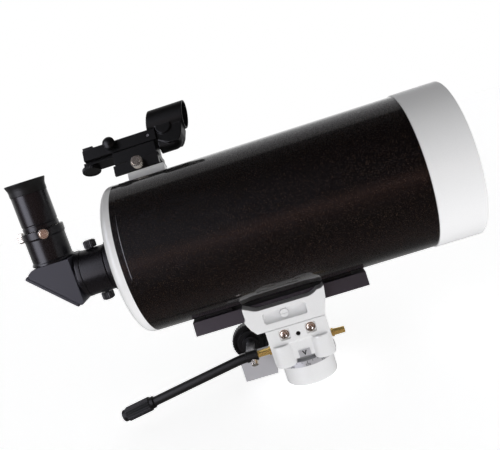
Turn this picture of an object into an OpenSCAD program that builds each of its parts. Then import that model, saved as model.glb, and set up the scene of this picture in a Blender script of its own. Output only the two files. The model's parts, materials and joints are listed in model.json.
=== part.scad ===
// Maksutov telescope on its declination head.
// Origin: middle of the head's base face, on the declination axis. +X runs to the front of the tube.

/* [Optical tube] */
// outside diameter of the tube
tube_d = 144; // [136:1:160]
// length of the tube between its two cells
tube_len = 267.5; // [240:0.5:320]
// length of the front cell that carries the lens
front_len = 42.2; // [34:0.2:60]
// how far the front cell stands out over the tube
front_step = 1; // [0.5:0.5:3]
// length of the rear cell
rear_len = 10.5; // [9:0.5:16]
// from the tube's outside in to the free opening of the lens
lens_inset = 8.5; // [8:0.5:14]
// distance from the declination axis back to the rear seam
rear_reach = 124; // [110:1:150]

/* [Dovetail] */
// length of the dovetail bar
bar_len = 169; // [130:1:200]
// width of the bar's foot
bar_w = 44; // [40:0.5:48]
// height of the bar
bar_h = 13; // [12:0.5:16]

/* [Eyepiece] */
// outside diameter of the push-in barrels
barrel_d = 31.75; // [31.6:0.05:31.9]
// diameter of the eyepiece body
eyepiece_d = 34; // [33:0.5:38]
// length of the eyepiece above its holder
eyepiece_len = 46.7; // [36:0.1:60]

/* [Finder] */
// lean of the finder from the top of the tube
finder_lean = 29; // [0:1:45]
// outside diameter of the finder's hood
hood_d = 28.5; // [26:0.5:32]

/* [Head] */
// diameter of the setting circle
circle_d = 60; // [56:1:64]
// diameter of the clamp knob
knob_d = 38.6; // [30:0.2:44]
// diameter of the slow-motion cable
cable_d = 9; // [7:0.5:10]

/* [Hidden] */
$fn = 96;

// clearances: running fit, sliding gap, seat gap, a screw's tip to what it presses, a cutter's overrun
fit = 0.05;
slip = 0.3;
seat = 0.2;
press_gap = 0.4;
over = 1;

// colours of the finishes
white = [0.93, 0.93, 0.94];
black = [0.06, 0.06, 0.065];
tube_black = [0.07, 0.06, 0.05];
bar_grey = [0.2, 0.18, 0.2];
steel = [0.75, 0.76, 0.78];
brass = [0.75, 0.58, 0.25];
glass = [0.75, 0.85, 0.9, 0.5];
silver = [0.62, 0.63, 0.66];
mirror_silver = [0.85, 0.87, 0.9];

// ribbed heads of thumbscrews: depth of a rib, and the small cap on top
grip_rib = 0.5;
grip_cap = 0.6;
grip_cap_in = 1.5;
thin_screw_r = 1.8;

// head, heights above the base
base_pcd = 36;
base_hole_r = 2.5;
base_hole_d = 14;
column_r = 25.6;
circle_r = circle_d / 2;
circle_z0 = 20.5;
circle_z1 = 26.1;
ticks = 36;
tick_group = 3;
tick_w = 0.5;
tick_d = 0.4;
tick_long = 3;
tick_short = 1.8;
neck_r = 22;
neck_z = 26.4;
shaft_r = 8;
shaft_z0 = 4;
flange_r = 12;
collar_z0 = 28.5;
collar_z1 = 38;
flange_h = collar_z0 - seat - neck_z;
hub_r = 12;
wheel_r = 18;
wheel_z0 = 39;
wheel_z1 = 47;
teeth = 65;
tooth_h = 0.8;
boss_z = 48.5;
boss_r = 21;
boss_flat = 19.5;
seam_z = 64.5;
nut_z = 67.2;
nut_h = 4.8;
nut_r = 8.5;
nut_pocket_r = 10.5;
stud_r = 5;
stud_z = 73.4;

// clamp collar, its lugs, bolt and knob
collar_r = 19;
lug_in = 1.2;
lug_out = 4.8;
lug_x = 64;
lug_room = 1.5;
lug_z0 = 12;
bolt_x = -53.5;
bolt_rise = 1;
bolt_z = (collar_z0 + collar_z1) / 2 + bolt_rise;
bolt_r = 3;
spacer_r = 4.5;
bolt_y0 = -7;
knob_r = knob_d / 2;
knob_y0 = 40;
knob_y1 = 52;
knob_cap = 1;
knob_hub_y = 33.5;
knob_hub_r = 8.5;
knob_ribs = 40;
knob_rib = 0.7;
knob_disc_in = 6;
knob_disc_t = 2;
knob_groove_in = 3.4;
knob_groove_d = 1.6;

// worm, its sleeve and its set screw
worm_y = -23;
worm_z = 43;
worm_shaft_r = 3.2;
worm_r = 4.4;
worm_half = 9;
worm_rings = 6;
worm_pitch = 3;
worm_land = 2;
worm_root = 0.5;
worm_room = 0.8;
worm_left = -50;
worm_right = 42.2;
worm_flat = 2.3;
worm_flat_len = 9;
thrust_step = 0.9;
thrust_t = 2;
thrust_gap = 0.6;
sleeve_x0 = -54;
sleeve_x1 = -42.6;
sleeve_r = 5.2;
set_turn = 135;
set_r = 2.4;
set_x = -47.3;
set_h = 4;
set_gap = 0.4;
set_step = 1;
set_ribs = 16;
set_rib = 0.3;

// worm block and its fastenings
block_x = 29;
block_y = -32.6;
block_back = -14.5;
step_z = 48.3;
arch_z = 31;
lobe_z = 26.7;
lobe_r = 10.3;
lobe_x = 18.9;
lobe_y = -26.2;
mid_y = -31;
collar_room = 1.2;
screw_x = 12.6;
screw_z = 57.2;
block_screw_r = 2;
block_screw_len = 18;
block_thread = 8;
recess = 9.6;
recess_d = 2.4;
washer_r = 4.6;
washer_t = 0.9;
cap_r = 3.4;
cap_h = 2.7;
cap_hex_r = 1.7;
cap_hex_d = 2;
mesh_z = 54.8;
mesh_r = 2.1;
mesh_d = 9;
plate_x = 0.4;
plate_w = 11.2;
plate_h = 6.8;
plate_z = 34.7;
plate_t = 0.8;
arrow_w = 3.2;
arrow_up = 1.8;
arrow_down = 2.2;

// dovetail bar and tube axis
floor_z = 75.8;
bar_z = floor_z + seat;
bar_top = bar_z + bar_h;
bar_mid_x = -8.2;
bar_x0 = bar_mid_x - bar_len / 2;
bar_lean = 3.5 / 13;
bar_top_w = bar_w - 2 * bar_lean * bar_h;
pad_min = 1;
pad_h = 6;
pad_len = 26;
pad_w = 30;
pad_at = (bar_len - 2 * pad_len) / 2;
tube_r = tube_d / 2;
tube_wall = 2;
tube_in = tube_r - tube_wall;
axis_z = bar_top + pad_min + tube_r;
screw_r = 3;
screw_past = 2;
head_r = 5;
head_h = 4;
head_sink = 1;
hex_r = 2.4;
hex_d = 2.5;

// saddle: side view from its rear tip, its front tip and the seam
saddle_y = 32;
wing_rise = 3;
wing_z = bar_top + wing_rise;
saddle_x0 = -44;
saddle_x1 = 35.3;
rear_tip = 0.8;
front_tip = 3;
front_tip_drop = 2;
front_lean = 1.5;
front_knee_z = 80.5;
dip_r = 18;
dip_rise = 12;
dip_rear = 17;
dip_front = 18.3;
dip_rear_turn = 34;
dip_front_turn = 38;
dip_steps = 8;
foot_rear = 7.5;
heel_in = 3;
heel_z = 5.5;
calf_in = 0.7;
calf_z = 10.5;
hook_out = 0.9;
hook_z = 14.5;
lip_z = 15.7;
pocket_x = -6.3;
pocket_z = 76.55;
pocket_w = 41;
pocket_h = 10.7;
pocket_d = 7.5;
pocket_round = 2.2;
jaw_dx = -0.4;
jaw_dz = -0.15;
jaw_r = 3.8;
jaw_in = 2.5;
jaw_deep = 8.6;
jaw_slot_w = 1.2;
jaw_slot_d = 0.8;
clamp_x = -5;
clamp_z = 80.4;
clamp_r = 3;
bar_knob_r = 9;
bar_knob_h = 12;
bar_knob_ribs = 20;
bar_collar_r = 5;
bar_collar_h = 2;

// cells, lens and mirror: lengths from the rear seam
aperture_r = tube_r - lens_inset;
rear_round = 7;
round_steps = 10;
rear_wall = 4;
front_x = tube_len + front_len;
front_r = tube_r + front_step;
front_lip = 1.2;
front_wall = 3;
spigot = 10;
rear_spigot = 4.5;
spigot_gap = 0.1;
spigot_r = tube_in - spigot_gap;
lens_over = 3.3;
lens_room = 0.4;
lens_clear = 0.5;
lens_r = aperture_r + lens_over;
lens_in = 10;
lens_x0 = tube_len + lens_in;
lens_t = 12;
lens_x1 = lens_x0 + lens_t;
lens_curve = 190;
lens_seat = 3;
bow_back = 14;
bow_front = 10;
bow_land = 2;
retainer_t = 4;
retainer_bevel = 2;
spot_r = 19;
spot_wall = 1.2;
spot_len = 30;
baffle_r = 14;
baffle_in = 12.4;
baffle_flange_t = 3;
baffle_gap = 102.5;
mirror_gap = 1;
mirror_r = aperture_r - mirror_gap;
mirror_x = 30;
mirror_t = 14;
mirror_hole = 18;
mirror_curve = 560;
mirror_steps = 8;
mirror_sleeve_back = 12;
mirror_sleeve_over = 2;
mirror_plate_in = 10;
cell_t = 5;
focus_z = -8;
focus_gap = 0.83;
focus_screw_r = 3;
focus_travel = 8;
focus_lug = 28;
focus_lug_r = 6.5;
focus_knob_r = 13;
focus_knob_len = 18;
focus_knob_gap = 2;
focus_knob_ribs = 36;
focus_knob_rib = 0.6;
focus_cap_in = 1.6;
focus_cap_t = 1.5;
focus_grip = 10;

// visual back, diagonal and eyepiece holder: lengths from the rear seam
back_r = 22.2;
back_flange_r = 25;
focus_y = sqrt(pow(back_flange_r + focus_knob_r + focus_gap, 2) - pow(focus_z, 2));
back_step_x = -27;
back_end_x = -52;
back_bore = barrel_d / 2 + fit;
back_groove_d = 1;
back_groove_w = 1.8;
back_edge = 0.6;
hub_thread_r = back_r - rear_wall;
back_screw_x = -41.3;
back_screw_r = 2;
back_head_r = 6;
back_head_h = 6.8;
back_head_gap = 0.6;
back_ribs = 22;
nose_gap = 0.4;
nose_len = 28;
nose_in = 13.4;
nose_flange_r = 22.5;
nose_bevel = 3;
diag_front_x = -59.4;
diag_axis_x = -79.6;
diag_top = 21;
diag_half = 19.5;
diag_bore = 14;
diag_flat = 11.4;
diag_knee = 16.9;
diag_knee_drop = 1;
diag_heel = 20.6;
diag_heel_drop = 3.4;
diag_back = 21.8;
diag_toe = 3.2;
diag_sole = 1.8;
diag_bottom = 22;
diag_sole_drop = 2.6;
hyp_out = 7.6;
hyp = hyp_out - diag_axis_x;
mirror_turn = 135;
mirror_pocket_l = 42;
mirror_pocket_w = 31;
pocket_depth = hyp_out / sqrt(2);
pocket_through = 8;
cover_t = 3.2;
cover_l = 56;
cover_round = 2;
holder_r = 19;
holder_foot_r = 20.2;
holder_foot_h = 2;
holder_taper = 1.2;
holder_ring_r = 20;
holder_ring_z = 46;
holder_ring_rise = 1;
holder_edge = 0.8;
holder_top = 54;
holder_screw_z = 50.2;
holder_rear_turn = 173;
holder_side_turn = 290;
holder_head_r = 4.9;
holder_head_h = 5.4;
holder_head_gap = 0.5;
holder_ribs = 18;
eyepiece_r = eyepiece_d / 2;
eyepiece_top = holder_top + seat + eyepiece_len;
band_z = 4;
band_d = 0.5;
band_slope = 0.6;
band_w = 1;
neck_in = 1.6;
eye_r = 11;
eye_under = 2;
eye_seat = 10;
eye_taper = 2;
cup_over = 2.2;
cup_r = eyepiece_r + cup_over;
cup_h = 12;
cup_wall = 0.35;
cup_flare = 6;
cup_edge = 0.8;
cup_lip = 0.6;
cup_mouth = 1;
barrel_len = 27;
barrel_in = 13.6;
eye_lens_t = 4;
field_lens_t = 5;
field_lens_in = 12;

// finder: lengths from the rear seam, heights from the tube's skin
shoe_x0 = 10;
shoe_x1 = 47;
shoe_half = 16;
shoe_sink = 6;
shoe_top = tube_r + 8.5;
ear_len = 6;
ear_half = 6;
ear_t = 2.2;
ear_screw = 3;
rail_screw_x = 22;
shoe_screw_r = 1.5;
shoe_head_r = 2.8;
shoe_head_h = 2;
shoe_head_sink = 2.6;
rail_neck = 9;
rail_head = 11.5;
rail_top = tube_r + 17;
rail_neck_x1 = 34;
foot_x0 = -2;
foot_x1 = 43.5;
foot_half = 17;
foot_lip_t = 3;
foot_lip_gap = 0.6;
foot_flange = 8;
foot_bottom = tube_r + 11.5;
foot_top = tube_r + 23.8;
shoe_clamp_x = 23;
shoe_clamp_h = tube_r + 14.2;
shoe_clamp_r = 6;
shoe_clamp_len = 7;
shoe_clamp_ribs = 24;
shoe_clamp_gap = 0.5;
az_pivot_x = 34;
az_pivot_r = 3;
az_pivot_d = 4;
az_pivot_h = 6;
az_wheel_x = 20;
az_wheel_h = 4;
az_wheel_r = 6.5;
az_wheel_len = 5;
bracket_x0 = -2;
bracket_short = 3;
bracket_half = 11;
bracket_bottom = tube_r + 24;
seam_h = tube_r + 37.2;
tongue_over = 2;
tongue_in = 8;
tongue_half = 8;
tongue_t = 3;
alt_x = -29.2;
alt_r = 9.5;
alt_h = 4;
alt_ribs = 36;
alt_rib = 0.4;
alt_stud_r = 2.5;
rail_gap = 0.4;
pivot_x = 37;
pivot_h = tube_r + 44.2;
pivot_r = 1.5;
pivot_in = 0.5;
knuckle_r = 4;
knuckle_half = 4;
knuckle_room = knuckle_r + 2 * slip;
rail_bottom = seam_h + rail_gap;
rail_high = tube_r + 51.2;
rail_x0 = -31.5;
rail_x1 = 45;
rail_half = 12;
rail_step = 2;
sight_len = 10.7;
sight_h = 2;
switch_x = -1.8;
switch_down = 4.6;
switch_r = 6.2;
switch_h = 3;
switch_dome_r = 9;
switch_dome_drop = 1;
switch_stem_r = 2;
switch_stem = 6;
switch_room = 8;
switch_slot_w = 1;
switch_slot_d = 1;
hood_h = tube_r + 61;
hood_r = hood_d / 2;
hood_wall = 1.6;
hood_in = hood_r - hood_wall;
hood_x0 = 34;
hood_x1 = 84;
hood_front_x = 77.4;
hood_front_turn = 11;
hood_rear_x = 39.5;
hood_rear_turn = 14;
hood_cutter = 40;
web_half = 9;
web_top_x = 70;
web_front_x = 73;
web_front_drop = 14;
web_low_x = 70.5;
web_low_h = tube_r + 38;
chin_x = 68.5;
chin_h = tube_r + 34;
belly_x0 = 56;
belly_x1 = 66;
belly_bottom = tube_r + 31;
belly_h = tube_r + 35;
belly_x = 60;
belly_r = 8.5;
boss_x = 54;
boss_h = tube_r + 50;
hood_boss_r = 8;
hood_boss_half = 11;
window_x = 55;
window_t = 2;

// slow-motion cable: it leaves its sleeve level and eases into an even slope
cable_run = 97;
cable_slope = 0.17;
cable_ease = 4;
cable_steps = 20;
cable_sides = 12;
cable_pts = [for (i = [0 : cable_steps]) let (run = cable_run * i / cable_steps)
  [sleeve_x0 - run, worm_y, worm_z - cable_slope * (run - cable_ease * (1 - exp(-run / cable_ease)))]];
cable_end = cable_pts[cable_steps];
cable_last = cable_pts[cable_steps - 1];
cable_drop = atan2(cable_last[2] - cable_end[2], cable_last[0] - cable_end[0]);
handle_len = 34;
handle_r = 7;
handle_end = 4;
handle_step = 1.2;
handle_ribs = 18;
handle_rib = 0.7;

// points of a ribbed rim with n ribs of depth d
function rim(r, n, d) = [for (i = [0 : 2 * n - 1])
  (i % 2 == 0 ? r : r - d) * [cos(i * 180 / n), sin(i * 180 / n)]];
// arc of radius r about c, from angle a to b, in n steps
function arc(c, r, a, b, n) = [for (i = [0 : n])
  c + r * [cos(a + (b - a) * i / n), sin(a + (b - a) * i / n)]];
// slope of the cable at point i
function cable_turn(i) = let (a = max(i - 1, 0), b = min(i + 1, cable_steps))
  let (d = cable_pts[b] - cable_pts[a]) i == 0 ? 0 : atan2(d[2], -d[0]);
// one ring of the cable at point i
function cable_ring(i) = let (s = cable_turn(i)) [
  for (k = [0 : cable_sides - 1]) let (a = 360 * k / cable_sides)
  cable_pts[i] + cable_d / 2 * [sin(s) * cos(a), sin(a), cos(s) * cos(a)]];

module at_tube() translate([-rear_reach, 0, axis_z]) children();
module at_finder() at_tube() rotate([-finder_lean, 0, 0]) children();
module at_holder() at_tube() translate([diag_axis_x, 0, 0]) children();
module at_focus() at_tube() translate([0, focus_y, focus_z]) children();
module at_worm() translate([0, worm_y, worm_z]) children();
module at_clamp() translate([bolt_x, 0, bolt_z]) children();
module both_ends(half) for (s = [-1, 1]) translate([s * half, 0, 0]) children();
module at_pads() translate([bar_mid_x, 0, 0]) both_ends(pad_at) children();
module at_block_screws() translate([0, 0, screw_z]) both_ends(screw_x) children();
module at_pocket() translate([pocket_x, -saddle_y, pocket_z]) children();
module at_jaw() at_pocket() translate([jaw_dx, 0, jaw_dz]) children();
module at_pivot() translate([pivot_x, 0, pivot_h]) children();
module at_ear() translate([shoe_x1 + ear_screw, 0, 0]) children();
module at_rail_screw() translate([rail_screw_x, 0, 0]) children();
module at_switch() translate([switch_x, -rail_half, rail_high - switch_down]) rotate([90, 0, 0]) children();
module spin_x(pts) rotate([0, 90, 0]) rotate_extrude() polygon(pts);
module rod_x(r, x0, x1) translate([x0, 0, 0]) rotate([0, 90, 0]) cylinder(r = r, h = x1 - x0);
module rod_y(r, y0, y1) translate([0, y0, 0]) rotate([-90, 0, 0]) cylinder(r = r, h = y1 - y0);
module rod_z(r, z0, z1) translate([0, 0, z0]) cylinder(r = r, h = z1 - z0);
module ring(r1, r0, z0, z1) difference() {
  rod_z(r1, z0, z1);
  rod_z(r0, z0 - over, z1 + over);
}
module box(x0, x1, y0, y1, z0, z1) translate([x0, y0, z0]) cube([x1 - x0, y1 - y0, z1 - z0]);
// side view drawn in x and z, pulled out between y0 and y1
module side(y0, y1) translate([0, y1, 0]) rotate([90, 0, 0]) linear_extrude(y1 - y0) children();
// end view drawn in y and z, pulled out between x0 and x1
module slab(x0, x1) translate([x0, 0, 0]) rotate([90, 0, 90]) linear_extrude(x1 - x0) children();
module rounded(w, h, r) {
  square([w - 2 * r, h], center = true);
  square([w, h - 2 * r], center = true);
  for (sx = [-1, 1], sy = [-1, 1]) translate([sx * (w / 2 - r), sy * (h / 2 - r)]) circle(r);
}
// ribbed head on z above 0, plain shank below it
module thumbscrew(r, h, ribs, shank, len) {
  linear_extrude(h) polygon(rim(r, ribs, grip_rib));
  rod_z(r - grip_cap_in, h, h + grip_cap);
  rod_z(shank, -len, 0);
}

// head

module dec_housing() color(white) difference() {
  union() {
    rod_z(column_r, 0, circle_z0 - seat);
    rod_z(neck_r, 0, neck_z);
  }
  rod_z(shaft_r + fit, -over, neck_z + over);
  for (a = [45 : 90 : 315]) rotate(a) translate([base_pcd / 2, 0, 0])
    rod_z(base_hole_r, -over, base_hole_d);
}
module dec_shaft() color(steel) {
  rod_z(shaft_r, shaft_z0, nut_z);
  rod_z(flange_r, neck_z, neck_z + flange_h);
  rod_z(stud_r, nut_z, stud_z);
}
module shaft_nut() color(steel) difference() {
  translate([0, 0, nut_z]) cylinder(r = nut_r, h = nut_h, $fn = 6);
  rod_z(stud_r + fit, nut_z - over, nut_z + nut_h + over);
}
module setting_circle() color(silver) difference() {
  ring(circle_r, neck_r + fit, circle_z0, circle_z1);
  for (i = [0 : ticks - 1]) rotate(i * 360 / ticks) translate([circle_r, 0, circle_z1])
    cube([2 * tick_d, tick_w, 2 * (i % tick_group == 0 ? tick_long : tick_short)], center = true);
}
module worm_wheel() color(brass) difference() {
  union() {
    translate([0, 0, wheel_z0]) linear_extrude(wheel_z1 - wheel_z0) polygon(rim(wheel_r, teeth, tooth_h));
    rod_z(hub_r, collar_z0, wheel_z0);
  }
  rod_z(shaft_r + fit, collar_z0 - over, wheel_z1 + over);
}
module clamp_collar() color(silver) difference() {
  union() {
    rod_z(collar_r, collar_z0, collar_z1);
    box(-lug_x, 0, -lug_out, lug_out, collar_z0, collar_z1);
    box(-lug_x, -circle_r - lug_room, -lug_out, lug_out, lug_z0, collar_z1);
  }
  rod_z(hub_r, collar_z0 - over, collar_z1 + over);
  box(-lug_x - over, 0, -lug_in, lug_in, lug_z0 - over, collar_z1 + over);
  at_clamp() rod_y(bolt_r + fit, -lug_out - over, lug_out + over);
}
module clamp_bolt() color(steel) at_clamp() {
  rod_y(bolt_r, bolt_y0, knob_y1 - knob_cap);
  rod_y(spacer_r, lug_out + seat, knob_hub_y);
}
module clamp_knob() color(black) at_clamp() difference() {
  union() {
    translate([0, knob_y1, 0]) rotate([90, 0, 0]) linear_extrude(knob_y1 - knob_y0)
      polygon(rim(knob_r, knob_ribs, knob_rib));
    rod_y(knob_hub_r, knob_hub_y, knob_y0);
    rod_y(knob_r - knob_disc_in, knob_y0 - knob_disc_t, knob_y0);
  }
  rod_y(bolt_r, knob_hub_y - over, knob_y1 - knob_cap);
  difference() {
    rod_y(knob_r - knob_groove_in, knob_y0 - over, knob_y0 + knob_groove_d);
    rod_y(knob_r - knob_disc_in, knob_y0 - 2 * over, knob_y0 + knob_groove_d + over);
  }
}
module saddle_end() {
  mouth = bar_w / 2 + slip;
  narrow = mouth - bar_lean * (wing_z - floor_z);
  polygon([[-saddle_y, seam_z], [saddle_y, seam_z], [saddle_y, wing_z], [narrow, wing_z],
    [mouth, floor_z], [-mouth, floor_z], [-narrow, wing_z], [-saddle_y, wing_z]]);
}
module saddle_side() polygon(concat([[saddle_x0 + rear_tip, wing_z]],
  arc([saddle_x0 + dip_rear, wing_z + dip_rise], dip_r, 270 - dip_rear_turn, 270, dip_steps),
  arc([saddle_x1 - dip_front, wing_z + dip_rise], dip_r, 270, 270 + dip_front_turn, dip_steps),
  [[saddle_x1 - front_tip, wing_z - front_tip_drop], [saddle_x1, wing_z],
  [saddle_x1 - front_lean, front_knee_z], [block_x, seam_z], [saddle_x0 + foot_rear, seam_z],
  [saddle_x0 + heel_in, seam_z + heel_z], [saddle_x0 + calf_in, seam_z + calf_z],
  [saddle_x0 - hook_out, seam_z + hook_z], [saddle_x0 + hook_out, seam_z + lip_z]]));
module saddle() color(white) difference() {
  union() {
    intersection() {
      slab(saddle_x0 - 2 * hook_out, saddle_x1 + over) saddle_end();
      side(-saddle_y - over, saddle_y + over) saddle_side();
    }
    rod_z(boss_r, boss_z, seam_z);
  }
  box(-boss_r - over, boss_r + over, -boss_r - over, -boss_flat, boss_z - over, seam_z);
  rod_z(shaft_r + fit, boss_z - over, floor_z + over);
  rod_z(nut_pocket_r, nut_z - seat, floor_z + over);
  at_pocket() intersection() {
    side(-over, pocket_d) rounded(pocket_w, pocket_h, pocket_round);
    translate([0, 0, pocket_d - pocket_h / 2]) rod_x(pocket_d, -pocket_w, pocket_w);
  }
  at_jaw() rod_y(jaw_r + fit, -over, jaw_deep);
  translate([clamp_x, 0, clamp_z]) rod_y(clamp_r + fit, 0, saddle_y + over);
  at_block_screws() rod_y(block_screw_r + fit, -boss_r, block_thread - boss_flat);
}
module jaw_screw() color(white) at_jaw() difference() {
  rod_y(jaw_r, jaw_in, jaw_deep);
  box(-jaw_r - over, jaw_r + over, 0, jaw_in + jaw_slot_d, -jaw_slot_w / 2, jaw_slot_w / 2);
}
module worm_block() color(white) difference() {
  union() {
    box(-block_x, block_x, block_y, -boss_flat, step_z, seam_z);
    box(-block_x, block_x, mid_y, block_back, arch_z, step_z);
    both_ends(lobe_x) translate([0, lobe_y, 0]) rod_z(lobe_r, lobe_z, step_z);
  }
  rod_z(wheel_r + worm_room, collar_z1 + slip, boss_z + slip);
  rod_z(collar_r + collar_room, 0, collar_z1 + slip);
  at_worm() rod_x(worm_shaft_r + fit, -block_x - over, block_x + over);
  at_worm() rod_x(worm_r + worm_room, -worm_half - worm_room, worm_half + worm_room);
  at_block_screws() {
    box(-recess / 2, recess / 2, block_y - over, block_y + recess_d, -recess / 2, recess / 2);
    rod_y(block_screw_r + seat, block_y - over, 0);
  }
  translate([0, 0, mesh_z]) rod_y(mesh_r, block_y - over, block_y + mesh_d);
}
module block_screws() color(steel) at_block_screws() translate([0, block_y + recess_d, 0]) difference() {
  union() {
    rod_y(washer_r, -washer_t, 0);
    rod_y(cap_r, -washer_t - cap_h, -washer_t);
    rod_y(block_screw_r, 0, block_screw_len);
  }
  translate([0, cap_hex_d - washer_t - cap_h, 0]) rotate([90, 0, 0])
    cylinder(r = cap_hex_r, h = cap_hex_d + over, $fn = 6);
}
module pointer_plate() color(silver) translate([plate_x, mid_y, plate_z]) difference() {
  box(-plate_w / 2, plate_w / 2, -plate_t, 0, -plate_h / 2, plate_h / 2);
  side(-plate_t - over, -plate_t / 2)
    polygon([[-arrow_w / 2, arrow_up], [arrow_w / 2, arrow_up], [0, -arrow_down]]);
}
module worm() color(brass) at_worm() difference() {
  union() {
    rod_x(worm_shaft_r, worm_left, worm_right);
    for (i = [0 : worm_rings - 1]) translate([i * worm_pitch - worm_half, 0, 0])
      rod_x(worm_r, 0, worm_land);
    rod_x(worm_r - worm_root, -worm_half, worm_half);
    rod_x(worm_shaft_r + thrust_step, block_x + thrust_gap, block_x + thrust_gap + thrust_t);
    rod_x(worm_shaft_r + thrust_step, -block_x - thrust_gap - thrust_t, -block_x - thrust_gap);
  }
  box(worm_right - worm_flat_len, worm_right + over, -worm_r, worm_r, worm_flat, worm_r);
}
module cable_sleeve() color(black) at_worm() difference() {
  rod_x(sleeve_r, sleeve_x0, sleeve_x1);
  rod_x(worm_shaft_r, worm_left, sleeve_x1 + over);
  translate([set_x, 0, 0]) rotate([set_turn, 0, 0]) rod_z(set_r + fit, 0, sleeve_r + over);
}
module sleeve_screw() color(steel) at_worm() translate([set_x, 0, 0]) rotate([set_turn, 0, 0]) {
  rod_z(set_r, worm_shaft_r, sleeve_r + set_gap);
  translate([0, 0, sleeve_r + set_gap]) linear_extrude(set_h)
    polygon(rim(set_r + set_step, set_ribs, set_rib));
}
module slow_cable() color(black) polyhedron(
  points = [for (i = [0 : cable_steps]) each cable_ring(i)],
  faces = concat([[for (k = [0 : cable_sides - 1]) k]],
    [for (i = [0 : cable_steps - 1], k = [0 : cable_sides - 1]) let (n = (k + 1) % cable_sides)
      [i * cable_sides + k, (i + 1) * cable_sides + k, (i + 1) * cable_sides + n, i * cable_sides + n]],
    [[for (k = [cable_sides - 1 : -1 : 0]) cable_steps * cable_sides + k]]));
module cable_handle() color(black) translate(cable_end) rotate([0, -90 - cable_drop, 0]) {
  rod_z(handle_r - handle_step, 0, handle_end);
  translate([0, 0, handle_end]) linear_extrude(handle_len - 2 * handle_end)
    polygon(rim(handle_r, handle_ribs, handle_rib));
  rod_z(handle_r - handle_step, handle_len - handle_end, handle_len);
}
module bar_clamp() color(black) translate([clamp_x, saddle_y + slip, clamp_z]) rotate([-90, 0, 0]) {
  translate([0, 0, bar_collar_h]) thumbscrew(bar_knob_r, bar_knob_h, bar_knob_ribs, clamp_r,
    saddle_y + bar_collar_h - bar_w / 2 - press_gap);
  rod_z(bar_collar_r, 0, bar_collar_h);
}

// optical tube

module tube() color(tube_black) difference() {
  at_tube() spin_x([[tube_in, 0], [tube_r, 0], [tube_r, tube_len], [tube_in, tube_len]]);
  at_pads() rod_z(screw_r + fit, bar_top, axis_z - tube_in + screw_past);
  at_finder() {
    at_ear() rod_z(shoe_screw_r + fit, tube_in - screw_past, tube_r + over);
    at_rail_screw() rod_z(shoe_screw_r + fit, tube_in - screw_past, tube_r + over);
  }
}
module rear_cell() color(white) difference() {
  at_tube() spin_x(concat([[hub_thread_r, -rear_len]],
    arc([tube_r - rear_round, rear_round - rear_len], rear_round, 270, 360, round_steps),
    [[tube_r, 0], [spigot_r, 0], [spigot_r, rear_spigot], [spigot_r - rear_wall, rear_spigot],
    [spigot_r - rear_wall, rear_wall - rear_len], [hub_thread_r, rear_wall - rear_len]]));
  at_focus() rod_x(focus_screw_r + fit, -rear_len - over, 0);
}
module front_cell() color(white) at_tube() spin_x([[spigot_r, tube_len - spigot], [spigot_r, tube_len],
  [front_r, tube_len], [front_r, front_x - front_lip], [front_r - front_lip, front_x],
  [lens_r + lens_room, front_x], [lens_r + lens_room, lens_x0], [aperture_r, lens_x0],
  [aperture_r, lens_x0 - lens_seat], [spigot_r - front_wall, lens_x0 - 2 * lens_seat],
  [spigot_r - front_wall, tube_len - spigot]]);
module lens_back_ball() translate([lens_x0 + lens_curve - bow_back, 0, 0]) sphere(lens_curve);
module corrector() color(glass) at_tube() intersection() {
  difference() {
    rod_x(lens_r, lens_x0 - bow_back, lens_x1);
    translate([lens_x1 + lens_curve - bow_front, 0, 0]) sphere(lens_curve);
  }
  union() {
    lens_back_ball();
    rod_x(lens_r + over, lens_x0 + bow_land, lens_x1 + over);
  }
  union() {
    rod_x(lens_r + over, lens_x0, lens_x1 + over);
    rod_x(aperture_r - lens_clear, lens_x0 - bow_back - over, lens_x0);
  }
}
module lens_retainer() color(black) at_tube() spin_x([[aperture_r, lens_x1], [lens_r + slip, lens_x1],
  [lens_r + slip, lens_x1 + retainer_t], [aperture_r + retainer_bevel, lens_x1 + retainer_t],
  [aperture_r, lens_x1 + retainer_t - retainer_bevel]]);
module secondary_baffle() color(black) at_tube() difference() {
  spin_x([[spot_r, lens_x0 - spot_len], [spot_r + spot_wall, lens_x0 - spot_len],
    [spot_r + spot_wall, lens_x0], [spot_r, lens_x0]]);
  lens_back_ball();
}
module baffle_tube() color(black) at_tube() spin_x([[baffle_in, -rear_len], [hub_thread_r, -rear_len],
  [hub_thread_r, rear_wall - rear_len], [back_r, rear_wall - rear_len],
  [back_r, rear_wall + baffle_flange_t - rear_len], [baffle_r, rear_wall + baffle_flange_t - rear_len],
  [baffle_r, tube_len - baffle_gap], [baffle_in, tube_len - baffle_gap]]);
module primary_mirror() color(mirror_silver) at_tube() spin_x(concat(
  [[mirror_hole, mirror_x], [mirror_r, mirror_x]],
  [for (i = [0 : mirror_steps]) let (r = mirror_r + (mirror_hole - mirror_r) * i / mirror_steps)
    [r, mirror_x + mirror_t - (mirror_r * mirror_r - r * r) / (2 * mirror_curve)]]));
module mirror_cell() color(bar_grey) difference() {
  sleeve_front = mirror_x + mirror_t + mirror_sleeve_over;
  union() {
    at_tube() rod_x(mirror_hole - seat, mirror_x - mirror_sleeve_back, sleeve_front);
    at_tube() rod_x(mirror_r - mirror_plate_in, mirror_x - cell_t, mirror_x);
    at_focus() rod_x(focus_lug_r, mirror_x - focus_lug, mirror_x - cell_t);
  }
  at_tube() rod_x(baffle_r + fit, mirror_x - mirror_sleeve_back - over, sleeve_front + over);
  at_focus() rod_x(focus_screw_r + fit, mirror_x - focus_lug - over, mirror_x - over);
}
module focus_screw() color(brass) at_focus()
  rod_x(focus_screw_r, -rear_len - focus_knob_gap - focus_grip, mirror_x - cell_t - focus_travel);
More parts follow.
